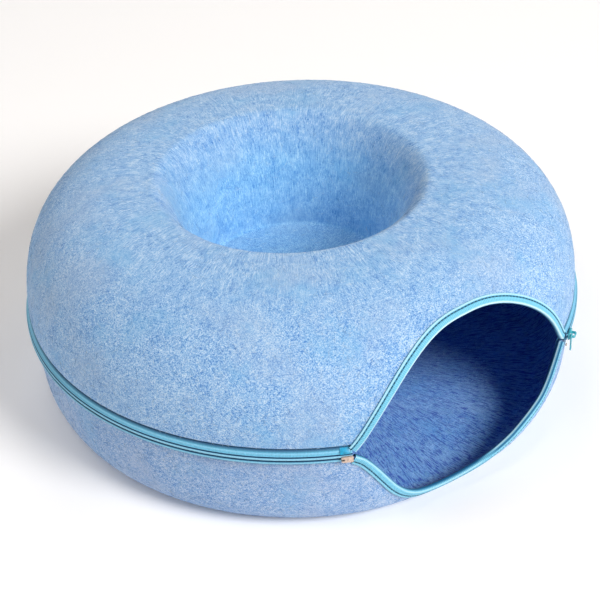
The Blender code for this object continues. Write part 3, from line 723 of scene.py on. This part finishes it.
def fibre_tree():
    """Bent fibres strewn over a surface where it is exposed."""
    tree, start, end = new_tree("loose fibres", (
        ("Density", "Float"), ("Seed", "Int"), ("Length", "Float"), ("Radius", "Float"),
        ("Rise", "Float"), ("Finish", "Material")))
    nodes, link = tree.nodes, tree.links.new
    strewn = nodes.new("GeometryNodeDistributePointsOnFaces")
    shown = nodes.new("GeometryNodeInputNamedAttribute")
    shown.data_type = "FLOAT"
    shown.inputs["Name"].default_value = "exposed"
    density = nodes.new("ShaderNodeMath")
    density.operation = "MULTIPLY"
    link(start.outputs["Density"], density.inputs[0])
    link(shown.outputs["Attribute"], density.inputs[1])
    link(start.outputs["Geometry"], strewn.inputs["Mesh"])
    link(density.outputs[0], strewn.inputs["Density"])
    link(start.outputs["Seed"], strewn.inputs["Seed"])
    spine = nodes.new("GeometryNodeCurveQuadraticBezier")
    spine.inputs["Resolution"].default_value = 3
    for label, share, side in (("Start", -0.5, 0.0), ("Middle", 0.0, 0.22), ("End", 0.5, 0.05)):
        spot = nodes.new("ShaderNodeCombineXYZ")
        for axis, part, source in (("X", share, "Length"), ("Y", side, "Length"),
                                   ("Z", 2.0 if label == "Middle" else -0.25, "Rise")):
            scaled = nodes.new("ShaderNodeMath")
            scaled.operation = "MULTIPLY"
            scaled.inputs[1].default_value = part
            link(start.outputs[source], scaled.inputs[0])
            link(scaled.outputs[0], spot.inputs[axis])
        link(spot.outputs[0], spine.inputs[label])
    ring = nodes.new("GeometryNodeCurvePrimitiveCircle")
    ring.inputs["Resolution"].default_value = 3
    link(start.outputs["Radius"], ring.inputs["Radius"])
    skin = nodes.new("GeometryNodeCurveToMesh")
    skin.inputs["Fill Caps"].default_value = True
    link(spine.outputs["Curve"], skin.inputs["Curve"])
    link(ring.outputs["Curve"], skin.inputs["Profile Curve"])
    turn = nodes.new("FunctionNodeRandomValue")
    turn.data_type = "FLOAT_VECTOR"
    turn.inputs["Min"].default_value = (0.0, 0.0, -math.pi)
    turn.inputs["Max"].default_value = (0.0, 0.0, math.pi)
    link(start.outputs["Seed"], turn.inputs["Seed"])
    turned_by = nodes.new("FunctionNodeRotateRotation")
    turned_by.rotation_space = "LOCAL"
    link(strewn.outputs["Rotation"], turned_by.inputs["Rotation"])
    link(turn.outputs["Value"], turned_by.inputs["Rotate By"])
    grown = nodes.new("FunctionNodeRandomValue")
    grown.data_type = "FLOAT"
    for socket in grown.inputs:
        if socket.enabled and socket.name in ("Min", "Max"):
            socket.default_value = 0.45 if socket.name == "Min" else 1.3
    link(start.outputs["Seed"], grown.inputs["Seed"])
    return end_with_copies(tree, start, end, strewn.outputs["Points"], skin.outputs["Mesh"],
                           turned_by.outputs["Rotation"],
                           next(s for s in grown.outputs if s.enabled))


def build_fibres(name, source, finish, count, seed, sizes):
    """Loose fibres on the exposed face of a felt shell, about as many as count."""
    made = bpy.data.objects.new(name, source.data.copy())
    bpy.context.scene.collection.objects.link(made)
    tree = bpy.data.node_groups.get("loose fibres") or fibre_tree()
    give_inputs(made, tree, {"Density": count / EXPOSED_AREA, "Seed": seed,
                             "Length": sizes.fibre_length, "Radius": sizes.fibre_radius,
                             "Rise": sizes.fibre_rise, "Finish": finish})
    return plain_mesh(made)


# ---------------------------------------------------------------- materials
def linear(colour):
    """A linear colour from the sRGB numbers of a setting."""
    return tuple(((c + 0.055) / 1.055) ** 2.4 if c > 0.04 else c / 12.92 for c in colour)


class Finish:
    """A material that is built node by node."""

    def __init__(self, name, roughness, metallic=0.0):
        self.material = bpy.data.materials.new(name)
        self.material.use_nodes = True
        self.nodes = self.material.node_tree.nodes
        self.shader = self.nodes["Principled BSDF"]
        self.set("Roughness", roughness)
        self.set("Metallic", metallic)

    def set(self, socket, value):
        """Give one of the shader's sockets a fixed value."""
        self.shader.inputs[socket].default_value = value

    def link(self, source, target):
        """Join an output socket to an input."""
        self.material.node_tree.links.new(source, target)

    def node(self, kind, inputs=(), **settings):
        """A node whose inputs are numbers or other nodes' sockets."""
        made = self.nodes.new("ShaderNode" + kind)
        for key, value in settings.items():
            setattr(made, key, value)
        for key, value in dict(inputs).items():
            if isinstance(value, bpy.types.NodeSocket):
                self.link(value, made.inputs[key])
            else:
                made.inputs[key].default_value = value
        return made

    def math(self, operation, first, second=0.0):
        """The result of a sum on numbers or sockets."""
        return self.node("Math", {0: first, 1: second}, operation=operation).outputs[0]

    def spread(self, value, low, high, to_low=0.0, to_high=1.0):
        """Stretch a range of values over another, held at both ends."""
        made = self.node("MapRange", {"Value": value, "From Min": low, "From Max": high,
                                      "To Min": to_low, "To Max": to_high})
        return made.outputs["Result"]

    def noise(self, vector, scale, detail=2.0, roughness=0.55):
        """Soft noise around 0.5, finer for a larger scale."""
        made = self.node("TexNoise", {"Vector": vector, "Scale": scale, "Detail": detail,
                                      "Roughness": roughness})
        return made.outputs["Fac"]

    def blend(self, share, first, second, mode="MIX"):
        """A colour between two, by a share from 0 to 1."""
        made = self.node("Mix", data_type="RGBA", blend_type=mode)
        for key, value in (("Factor", share), ("A", first), ("B", second)):
            sockets = [s for s in made.inputs if s.name == key]
            socket = sockets[0] if key == "Factor" else next(s for s in sockets if s.type == "RGBA")
            if isinstance(value, bpy.types.NodeSocket):
                self.link(value, socket)
            elif key == "Factor":
                socket.default_value = value
            else:
                socket.default_value = (*value, 1.0)
        return next(s for s in made.outputs if s.type == "RGBA")

    def attribute(self, name, output="Vector"):
        """A value that is stored on the mesh."""
        return self.node("Attribute", attribute_name=name).outputs[output]

    def here(self):
        """The place on the object, in metres."""
        return self.node("TexCoord").outputs["Object"]

    def finish(self, colour, height=None, strength=0.5, distance=0.0005):
        """Join the colour and the relief to the shader."""
        if isinstance(colour, bpy.types.NodeSocket):
            self.link(colour, self.shader.inputs["Base Color"])
        else:
            self.set("Base Color", (*colour, 1.0))
        if height is not None:
            bump = self.node("Bump", {"Height": height, "Strength": strength,
                                      "Distance": distance})
            self.link(bump.outputs["Normal"], self.shader.inputs["Normal"])
        return self.material


def felt_finish(name, colours, inner_streak):
    """Needled felt: fibres of several blues laid in all directions, combed into the well."""
    deep, body, pale, patch, grey = (linear(colour) for colour in colours)
    felt = Finish(name, 1.0)
    felt.set("Specular IOR Level", 0.05)
    felt.set("Sheen Weight", 0.30)
    felt.set("Sheen Roughness", 0.55)
    felt.set("Sheen Tint", (0.78, 0.88, 1.0, 1.0))
    here = felt.here()
    bending = felt.node("TexNoise", {"Vector": here, "Scale": 42.0, "Detail": 2.0})
    centred = felt.node("VectorMath", {0: bending.outputs["Color"], 1: (0.5, 0.5, 0.5)},
                        operation="SUBTRACT").outputs[0]
    bent = felt.node("VectorMath", {0: centred, "Scale": 0.009}, operation="SCALE").outputs[0]
    strands = []
    for lay in ("lay_down", "lay_left", "lay_right", "lay_round"):
        along = felt.node("VectorMath", {0: felt.attribute(lay), 1: bent},
                          operation="ADD").outputs[0]
        strands.append(felt.noise(along, 1250.0, 2.0, 0.6))
    down, left, right, around = strands
    pick_side = felt.spread(felt.noise(here, 60.0, 2.0), 0.40, 0.60, 0.15, 0.85)
    pick_round = felt.spread(felt.noise(here, 85.0, 2.0), 0.45, 0.65, 0.0, 0.8)
    crossed = felt.node("Mix", {0: pick_side, 2: left, 3: right}).outputs[0]
    crossed = felt.node("Mix", {0: pick_round, 2: crossed, 3: around}).outputs[0]
    combed = felt.math("MULTIPLY", felt.attribute("combed", "Fac"), 0.62)
    strand = felt.node("Mix", {0: combed, 2: crossed, 3: down}).outputs[0]
    drawn = felt.node("VectorMath", {0: felt.attribute("lay_down"), 1: bent},
                      operation="ADD").outputs[0]
    drawn = felt.noise(drawn, 950.0, 2.0, 0.65)
    speck = felt.noise(here, 1000.0, 2.0, 0.7)
    fleck = felt.noise(here, 420.0, 2.0, 0.6)
    tuft = felt.noise(here, 110.0, 3.0, 0.6)
    cloud = felt.noise(here, 38.0, 3.0, 0.6)
    tone = 0.0
    for value, reach, share in ((strand, 0.14, 0.27), (speck, 0.12, 0.38), (fleck, 0.18, 0.17),
                                (tuft, 0.20, 0.10), (cloud, 0.20, 0.08)):
        part = felt.spread(value, 0.5 - reach, 0.5 + reach, 0.0, share)
        tone = felt.math("ADD", part, tone)
    swept = felt.math("ADD", felt.spread(drawn, 0.28, 0.72, 0.0, 0.70),
                      felt.spread(tuft, 0.26, 0.74, 0.0, 0.30))
    tone = felt.node("Mix", {0: combed, 2: tone, 3: swept}).outputs[0]
    ramp = felt.node("ValToRGB", {"Fac": tone})
    ramp.color_ramp.elements[0].position = 0.22
    ramp.color_ramp.elements[0].color = (*deep, 1.0)
    ramp.color_ramp.elements[1].position = 0.78
    ramp.color_ramp.elements[1].color = (*pale, 1.0)
    middle = ramp.color_ramp.elements.new(0.48)
    middle.color = (*body, 1.0)
    colour = ramp.outputs["Color"]
    warm = felt.spread(felt.noise(here, 17.0, 2.0, 0.5), 0.50, 0.68, 0.0, 0.35)
    colour = felt.blend(warm, colour, grey)
    cool = felt.spread(felt.noise(here, 24.0, 3.0, 0.6), 0.52, 0.70, 0.0, 0.4)
    colour = felt.blend(cool, colour, patch)
    # Painted bounced light: felt inside the cave and down in the well gets a more saturated blue.
    bounce_tint = felt.node("ValToRGB", {"Fac": felt.attribute("exposed", "Fac")})
    bounce_tint.color_ramp.elements[0].color = (*INSIDE_BOUNCE_TINT, 1.0)
    bounce_tint.color_ramp.elements[1].color = (1.0, 1.0, 1.0, 1.0)
    bounce_tint.color_ramp.elements.new(0.5).color = (*WELL_BOUNCE_TINT, 1.0)
    colour = felt.blend(1.0, colour, bounce_tint.outputs["Color"], "MULTIPLY")
    inside = felt.spread(felt.attribute("exposed", "Fac"), 0.5, 0.0)
    streak = felt.spread(felt.noise(felt.attribute("lay_down"), 800.0, 3.0, 0.65), 0.49, 0.58)
    streak = felt.math("MULTIPLY", streak, inside)
    colour = felt.blend(felt.math("MULTIPLY", streak, 0.85), colour, linear(inner_streak))
    glint = felt.spread(felt.noise(felt.attribute("lay_down"), 1100.0, 2.0, 0.6), 0.54, 0.64)
    glint = felt.math("MULTIPLY", glint, inside)
    colour = felt.blend(felt.math("MULTIPLY", glint, 0.7), colour, patch)
    height = felt.math("ADD", felt.math("MULTIPLY", strand, 0.6),
                       felt.math("MULTIPLY", speck, 0.5))
    return felt.finish(colour, height, 0.55, 0.0012)


def tape_finish(name, colour, pale, dark, rib, roughness=0.62):
    """Woven tape: fine ribs across its length, a close weave, and painted shade and highlight
    across it.
    """
    tape = Finish(name, roughness)
    tape.set("Specular IOR Level", 0.30)
    tape.set("Sheen Weight", 0.10)
    split = tape.node("SeparateXYZ", {0: tape.attribute("weave")})
    turn = tape.math("MULTIPLY", split.outputs["X"], 2 * math.pi / rib)
    ribs = tape.math("ADD", tape.math("MULTIPLY", tape.math("SINE", turn), 0.5), 0.5)
    weft = tape.math("MULTIPLY", split.outputs["Y"], 2 * math.pi / (rib * 0.8))
    weft = tape.math("ADD", tape.math("MULTIPLY", tape.math("SINE", weft), 0.5), 0.5)
    uneven = tape.noise(tape.here(), 900.0, 2.0, 0.7)
    share = tape.math("MULTIPLY", ribs, 0.5)
    share = tape.math("ADD", share, tape.spread(uneven, 0.3, 0.7, 0.0, 0.5))
    body = linear(colour)
    tone = tape.blend(share, tuple(0.55 * level for level in body), body)
    # Painted highlight where the tone is above 0, painted shade where it is below 0.
    tone = tape.blend(tape.spread(split.outputs["Z"], 0.0, 1.0), tone, linear(pale))
    tone = tape.blend(tape.spread(split.outputs["Z"], 0.0, -1.0), tone, linear(dark))
    height = tape.math("ADD", tape.math("MULTIPLY", ribs, 0.8), tape.math("MULTIPLY", weft, 0.3))
    return tape.finish(tone, height, 0.5, 0.00018)


def plain_finish(name, colour, roughness, metallic=0.0, coat=0.0, grain=300.0):
    """Metal, enamel, film or thread: one colour with slight wear in its tone and gloss."""
    made = Finish(name, roughness, metallic)
    made.set("Coat Weight", coat)
    uneven = made.noise(made.here(), grain, 3.0, 0.6)
    dark = tuple(0.62 * c for c in linear(colour))
    tone = made.blend(made.spread(uneven, 0.32, 0.62), dark, linear(colour))
    made.link(made.spread(uneven, 0.3, 0.7, roughness + 0.12, max(roughness - 0.08, 0.05)),
              made.shader.inputs["Roughness"])
    return made.finish(tone, uneven, 0.12, 0.0002)


def finish_named(name):
    """A finish by name, made the first time that it is asked for."""
    found = bpy.data.materials.get(name)
    if found:
        return found
    cave = bpy.context.scene.cave_colours

    def felt(tint):
        """The felt's finish with all of its blues tinted."""
        blues = (cave.felt_deep, cave.felt_body, cave.felt_pale, cave.felt_patch, cave.felt_grey)
        blues = [[level * part for level, part in zip(colour, tint)] for colour in blues]
        return felt_finish(name, blues, cave.inner_streak)

    makers = {
        "blue felt": lambda: felt((1.0, 1.0, 1.0)),
        "blue felt, lower": lambda: felt((1.02, 0.975, 0.975)),
        "sky tape": lambda: tape_finish(name, cave.tape, cave.tape_highlight, cave.tape_shade, 0.0011),
        "ribbed binding": lambda: tape_finish(name, cave.binding, cave.binding_highlight,
                                              cave.binding_shade, 0.0016),
        "dark thread": lambda: plain_finish(name, cave.thread, 0.8, grain=900.0),
        "pale fibre": lambda: plain_finish(name, cave.fibre_pale, 0.9),
        "deep fibre": lambda: plain_finish(name, cave.fibre_deep, 0.9),
        "nylon teeth": lambda: plain_finish(name, cave.teeth, 0.5),
        "bright film": lambda: plain_finish(name, cave.film, 0.35, coat=0.3),
        "copper": lambda: plain_finish(name, cave.copper, 0.38, 0.55, grain=500.0),
        "teal enamel": lambda: plain_finish(name, cave.enamel, 0.28, 0.1, coat=0.6),
    }
    return makers[name]()


# ---------------------------------------------------------------- settings
class CaveSizes(bpy.types.PropertyGroup):
    """Sizes of the sewn and repeated details."""

    stitch_pitch: bpy.props.FloatProperty(
        name="Stitch pitch", description="Distance between the starts of two stitches",
        default=0.0036, min=0.002, max=0.01, subtype="DISTANCE", unit="LENGTH")
    stitch_size: bpy.props.FloatVectorProperty(
        name="Stitch size", description="Length, width and height of one stitch",
        default=(0.0027, 0.0010, 0.0005), subtype="XYZ_LENGTH", unit="LENGTH")
    tooth_pitch: bpy.props.FloatProperty(
        name="Tooth pitch", description="Distance between two teeth of the zip",
        default=0.0016, min=0.001, max=0.005, subtype="DISTANCE", unit="LENGTH")
    tooth_size: bpy.props.FloatVectorProperty(
        name="Tooth size", description="Length along the zip, height and depth of one tooth",
        default=(0.0011, 0.0046, 0.0020), subtype="XYZ_LENGTH", unit="LENGTH")
    fibre_length: bpy.props.FloatProperty(
        name="Fibre length", description="Mean length of a loose fibre",
        default=0.0055, min=0.001, max=0.02, subtype="DISTANCE", unit="LENGTH")
    fibre_radius: bpy.props.FloatProperty(
        name="Fibre radius", description="Radius of a loose fibre",
        default=0.00007, min=0.00002, max=0.0005, subtype="DISTANCE", unit="LENGTH")
    fibre_rise: bpy.props.FloatProperty(
        name="Fibre rise", description="Height of a loose fibre over the felt",
        default=0.00012, min=0.0, max=0.002, subtype="DISTANCE", unit="LENGTH")


class CaveColours(bpy.types.PropertyGroup):
    """Colours of the felt, the tapes and the fittings, as sRGB."""

    felt_deep: bpy.props.FloatVectorProperty(
        name="Felt, deep", description="Colour of the felt's darkest fibres",
        default=(0.259, 0.486, 0.776), min=0.0, max=1.0, subtype="COLOR_GAMMA")
    felt_body: bpy.props.FloatVectorProperty(
        name="Felt, body", description="Colour of most of the felt's fibres",
        default=(0.533, 0.706, 0.878), min=0.0, max=1.0, subtype="COLOR_GAMMA")
    felt_pale: bpy.props.FloatVectorProperty(
        name="Felt, pale", description="Colour of the felt's palest fibres",
        default=(0.784, 0.871, 0.949), min=0.0, max=1.0, subtype="COLOR_GAMMA")
    felt_patch: bpy.props.FloatVectorProperty(
        name="Felt, patches", description="Colour of the felt's faint sky patches",
        default=(0.424, 0.682, 0.871), min=0.0, max=1.0, subtype="COLOR_GAMMA")
    felt_grey: bpy.props.FloatVectorProperty(
        name="Felt, grey", description="Colour of the felt's faint grey patches",
        default=(0.635, 0.722, 0.839), min=0.0, max=1.0, subtype="COLOR_GAMMA")
    inner_streak: bpy.props.FloatVectorProperty(
        name="Inner streaks", description="Colour of the dark streaks on the felt's inner face",
        default=(0.120, 0.275, 0.740), min=0.0, max=1.0, subtype="COLOR_GAMMA")
    tape: bpy.props.FloatVectorProperty(
        name="Zip tape", description="Colour of the zip's tapes",
        default=(0.439, 0.776, 0.925), min=0.0, max=1.0, subtype="COLOR_GAMMA")
    # Painted highlight on the zip tapes' raised edges.
    tape_highlight: bpy.props.FloatVectorProperty(
        name="Zip tape, pale", description="Colour of the tapes' raised edges",
        default=(0.729, 0.902, 0.980), min=0.0, max=1.0, subtype="COLOR_GAMMA")
    # Painted shade in the zip tapes' grooves, their slit and under the felt's edge.
    tape_shade: bpy.props.FloatVectorProperty(
        name="Zip tape, dark", description="Colour of the tapes' grooves",
        default=(0.063, 0.220, 0.384), min=0.0, max=1.0, subtype="COLOR_GAMMA")
    binding: bpy.props.FloatVectorProperty(
        name="Binding", description="Colour of the entrance's bindings",
        default=(0.510, 0.850, 0.975), min=0.0, max=1.0, subtype="COLOR_GAMMA")
    # Painted highlight on the bindings' folded edges and outer strips.
    binding_highlight: bpy.props.FloatVectorProperty(
        name="Binding edge", description="Colour of the bindings' folded edges",
        default=(0.850, 0.950, 0.975), min=0.0, max=1.0, subtype="COLOR_GAMMA")
    # Painted shade in the bindings' stitch valleys and inside their folds.
    binding_shade: bpy.props.FloatVectorProperty(
        name="Binding, dark", description="Colour of the bindings' stitched valleys",
        default=(0.065, 0.385, 0.560), min=0.0, max=1.0, subtype="COLOR_GAMMA")
    fibre_pale: bpy.props.FloatVectorProperty(
        name="Loose fibres, pale", description="Colour of the paler loose fibres",
        default=(0.800, 0.885, 0.960), min=0.0, max=1.0, subtype="COLOR_GAMMA")
    fibre_deep: bpy.props.FloatVectorProperty(
        name="Loose fibres, deep", description="Colour of the deeper loose fibres",
        default=(0.360, 0.580, 0.820), min=0.0, max=1.0, subtype="COLOR_GAMMA")
    thread: bpy.props.FloatVectorProperty(
        name="Thread", description="Colour of the stitches",
        default=(0.020, 0.260, 0.340), min=0.0, max=1.0, subtype="COLOR_GAMMA")
    teeth: bpy.props.FloatVectorProperty(
        name="Teeth", description="Colour of the zip's teeth",
        default=(0.118, 0.353, 0.510), min=0.0, max=1.0, subtype="COLOR_GAMMA")
    film: bpy.props.FloatVectorProperty(
        name="Film", description="Colour of the two film strips",
        default=(0.160, 0.640, 0.810), min=0.0, max=1.0, subtype="COLOR_GAMMA")
    copper: bpy.props.FloatVectorProperty(
        name="Copper", description="Colour of the box and the stop",
        default=(0.900, 0.800, 0.735), min=0.0, max=1.0, subtype="COLOR_GAMMA")
    enamel: bpy.props.FloatVectorProperty(
        name="Enamel", description="Colour of the slider and its pull",
        default=(0.270, 0.730, 0.790), min=0.0, max=1.0, subtype="COLOR_GAMMA")


class CaveLight(bpy.types.PropertyGroup):
    """Lights of the studio."""

    brightness: bpy.props.FloatProperty(
        name="Lights", description="Share of each light's own power", default=1.0, min=0.0)
    surround: bpy.props.FloatProperty(
        name="Surround", description="Brightness of the room", default=0.07)
    floor_colour: bpy.props.FloatVectorProperty(
        name="Floor", description="Colour of the floor", default=(0.97, 0.965, 0.97),
        subtype="COLOR")
    floor_glow: bpy.props.FloatProperty(
        name="Floor glow", description="Light that the floor gives of itself", default=0.05)


# ---------------------------------------------------------------- operators
def fit(made, slot, *nodes):
    """Let a finished piece ride on the cave and stand for the solids that it replaces."""
    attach(made, "root")
    if nodes:
        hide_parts(*nodes)
    return made


class CAVE_OT_upper_felt(bpy.types.Operator):
    """The moulded upper shell with its well and its arch"""

    bl_idname = "cave.upper_felt"
    bl_label = "Upper felt shell"
    bl_options = {"REGISTER", "UNDO"}

    def execute(self, context):
        fit(build_upper_felt(finish_named("blue felt")), "upper_felt", "upper_shell")
        return {"FINISHED"}


class CAVE_OT_lower_felt(bpy.types.Operator):
    """The moulded dish below the zip"""

    bl_idname = "cave.lower_felt"
    bl_label = "Lower felt shell"
    bl_options = {"REGISTER", "UNDO"}

    def execute(self, context):
        fit(build_lower_felt(finish_named("blue felt, lower")), "lower_felt", "lower_shell")
        return {"FINISHED"}


class CAVE_OT_fibres(bpy.types.Operator):
    """Loose fibres that stand proud of the felt"""

    bl_idname = "cave.fibres"
    bl_label = "Loose fibres"
    bl_options = {"REGISTER", "UNDO"}

    def execute(self, context):
        for name, felt, slot, finish, count, seed in LOOSE_FIBRES:
            fit(build_fibres(name, bpy.data.objects[felt], finish_named(finish), count, seed,
                             context.scene.cave_sizes), slot)
        return {"FINISHED"}


class CAVE_OT_zip(bpy.types.Operator):
    """The two zip tapes and the row of teeth behind their slit"""

    bl_idname = "cave.zip"
    bl_label = "Zip"
    bl_options = {"REGISTER", "UNDO"}

    def execute(self, context):
        sizes = context.scene.cave_sizes
        cloth = finish_named("sky tape")
        fit(build_tape("tape_upper", cloth, UPPER_TAPE_OUTLINE), "tape", "zip_upper_tape")
        fit(build_tape("tape_lower", cloth, LOWER_TAPE_OUTLINE), "tape", "zip_lower_tape")
        start = TAPE_START + TEETH_INSET
        angles = np.linspace(start, 2 * math.pi - start, 900)
        line = turned(angles, FELT_RADIUS + TOOTH_OUT, ZIP_HEIGHT)
        out = turned(angles, 1.0, 0.0)
        teeth = build_beads("zip_teeth", finish_named("nylon teeth"), line, out,
                            sizes.tooth_pitch, tuple(sizes.tooth_size))
        fit(teeth, "tape", "zip_coil")
        return {"FINISHED"}


class CAVE_OT_bindings(bpy.types.Operator):
    """The folded tapes over the entrance's two edges, with their stitches"""

    bl_idname = "cave.bindings"
    bl_label = "Bindings"
    bl_options = {"REGISTER", "UNDO"}

    def execute(self, context):
        sizes = context.scene.cave_sizes
        upper, upper_count, _ = upper_outline()
        lower, lower_count = lower_outline()
        for name, node, parts in (
            ("arch", "arch_binding", (upper, upper_count, arch_height, 1.0, settle)),
            ("lip", "lip_binding", (lower, lower_count, lip_height, -1.0, draw_in)),
        ):
            made, line, out = build_binding("binding_" + name, finish_named("ribbed binding"),
                                            *parts)
            fit(made, "tape", node)
            stitches = build_beads("stitches_" + name, finish_named("dark thread"), line, out,
                                   sizes.stitch_pitch, tuple(sizes.stitch_size))
            fit(stitches, "tape")
        return {"FINISHED"}


class CAVE_OT_fittings(bpy.types.Operator):
    """The metal box, the slider with its pull, the stop and the two film strips"""

    bl_idname = "cave.fittings"
    bl_label = "Zip fittings"
    bl_options = {"REGISTER", "UNDO"}

    def execute(self, context):
        for node, finish, slot, width in FITTINGS:
            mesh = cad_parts[node].data.copy()
            made = bpy.data.objects.new("fine_" + node, mesh)
            context.scene.collection.objects.link(made)
            solid = bmesh.new()
            solid.from_mesh(mesh)
            bmesh.ops.remove_doubles(solid, verts=solid.verts, dist=FITTING_WELD)
            bmesh.ops.dissolve_limit(solid, angle_limit=FITTING_FLAT, verts=solid.verts,
                                     edges=solid.edges)
            solid.to_mesh(mesh)
            solid.free()
            mesh.materials.clear()
            mesh.materials.append(finish_named(finish))
            rounding = made.modifiers.new("rounding", "BEVEL")
            rounding.width = width
            rounding.segments = 3
            rounding.angle_limit = FITTING_CORNER
            plain_mesh(made)
            made.data.shade_smooth()
            made.data.set_sharp_from_angle(angle=math.radians(50.0))
            fit(made, slot, node)
        return {"FINISHED"}


class CAVE_OT_stage(bpy.types.Operator):
    """The white floor, the studio lights and the camera"""

    bl_idname = "cave.stage"
    bl_label = "Stage"
    bl_options = {"REGISTER", "UNDO"}

    def execute(self, context):
        scene = context.scene
        light = scene.cave_light
        corners = [(FLOOR_HALF * x, FLOOR_HALF * y, -FLOOR_DROP)
                   for x, y in ((-1, -1), (1, -1), (1, 1), (-1, 1))]
        paper = Finish("white paper", 0.9)
        paper.set("Specular IOR Level", 0.1)
        paper.set("Emission Color", (1.0, 1.0, 1.0, 1.0))
        paper.set("Emission Strength", light.floor_glow)
        paper.finish(tuple(light.floor_colour))
        floor = new_object("floor", corners, [(0, 1, 2, 3)], paper.material)
        for name, around, rise, distance, size, power, blue in STUDIO_LIGHTS:
            data = bpy.data.lights.new(name, "AREA")
            data.shape = "DISK"
            data.size = size
            data.energy = power * light.brightness
            data.color = (1.0, 0.5 + 0.5 * blue, blue)
            lamp = bpy.data.objects.new(name, data)
            scene.collection.objects.link(lamp)
            place = turned(math.radians(around), distance * math.cos(math.radians(rise)),
                           distance * math.sin(math.radians(rise)) + LIGHT_AIM.z)
            lamp.location = place
            lamp.rotation_euler = (LIGHT_AIM - lamp.location).to_track_quat("-Z", "Y").to_euler()
        world = bpy.data.worlds.new("white room")
        scene.world = world
        world.use_nodes = True
        back = world.node_tree.nodes["Background"]
        back.inputs["Color"].default_value = SURROUND_COLOUR
        back.inputs["Strength"].default_value = light.surround
        data = bpy.data.cameras.new("camera")
        data.lens = CAMERA_LENS
        data.sensor_width = 36.0
        camera = bpy.data.objects.new("camera", data)
        scene.collection.objects.link(camera)
        camera.matrix_world = CAMERA_PLACE
        scene.camera = camera
        scene.view_settings.view_transform = "Standard"
        return {"FINISHED"}


class CAVE_PT_panel(bpy.types.Panel):
    """Lists the cave's sizes and the steps that build it"""

    bl_label = "Felt cat cave"
    bl_space_type = "VIEW_3D"
    bl_region_type = "UI"
    bl_category = "Cat cave"

    def draw(self, context):
        column = self.layout.column()
        for group in (context.scene.cave_sizes, context.scene.cave_colours,
                      context.scene.cave_light):
            for name in group.bl_rna.properties.keys():
                if name not in ("name", "rna_type"):
                    column.prop(group, name)
        for step in STEPS:
            column.operator(step.bl_idname)


STEPS = (CAVE_OT_upper_felt, CAVE_OT_lower_felt, CAVE_OT_fibres, CAVE_OT_zip, CAVE_OT_bindings,
         CAVE_OT_fittings, CAVE_OT_stage)
CLASSES = (CaveSizes, CaveColours, CaveLight, *STEPS, CAVE_PT_panel)


def register():
    """Make the settings, the steps and the panel known to Blender."""
    for kind in CLASSES:
        bpy.utils.register_class(kind)
    bpy.types.Scene.cave_sizes = bpy.props.PointerProperty(type=CaveSizes)
    bpy.types.Scene.cave_colours = bpy.props.PointerProperty(type=CaveColours)
    bpy.types.Scene.cave_light = bpy.props.PointerProperty(type=CaveLight)


def unregister():
    """Take away what register made."""
    del bpy.types.Scene.cave_light
    del bpy.types.Scene.cave_colours
    del bpy.types.Scene.cave_sizes
    for kind in reversed(CLASSES):
        bpy.utils.unregister_class(kind)


def main():
    """Build the cave and its stage step by step."""
    register()
    for step in STEPS:
        group, name = step.bl_idname.split(".")
        getattr(getattr(bpy.ops, group), name)()
    bpy.context.view_layer.update()


if __name__ == "__main__":
    main()
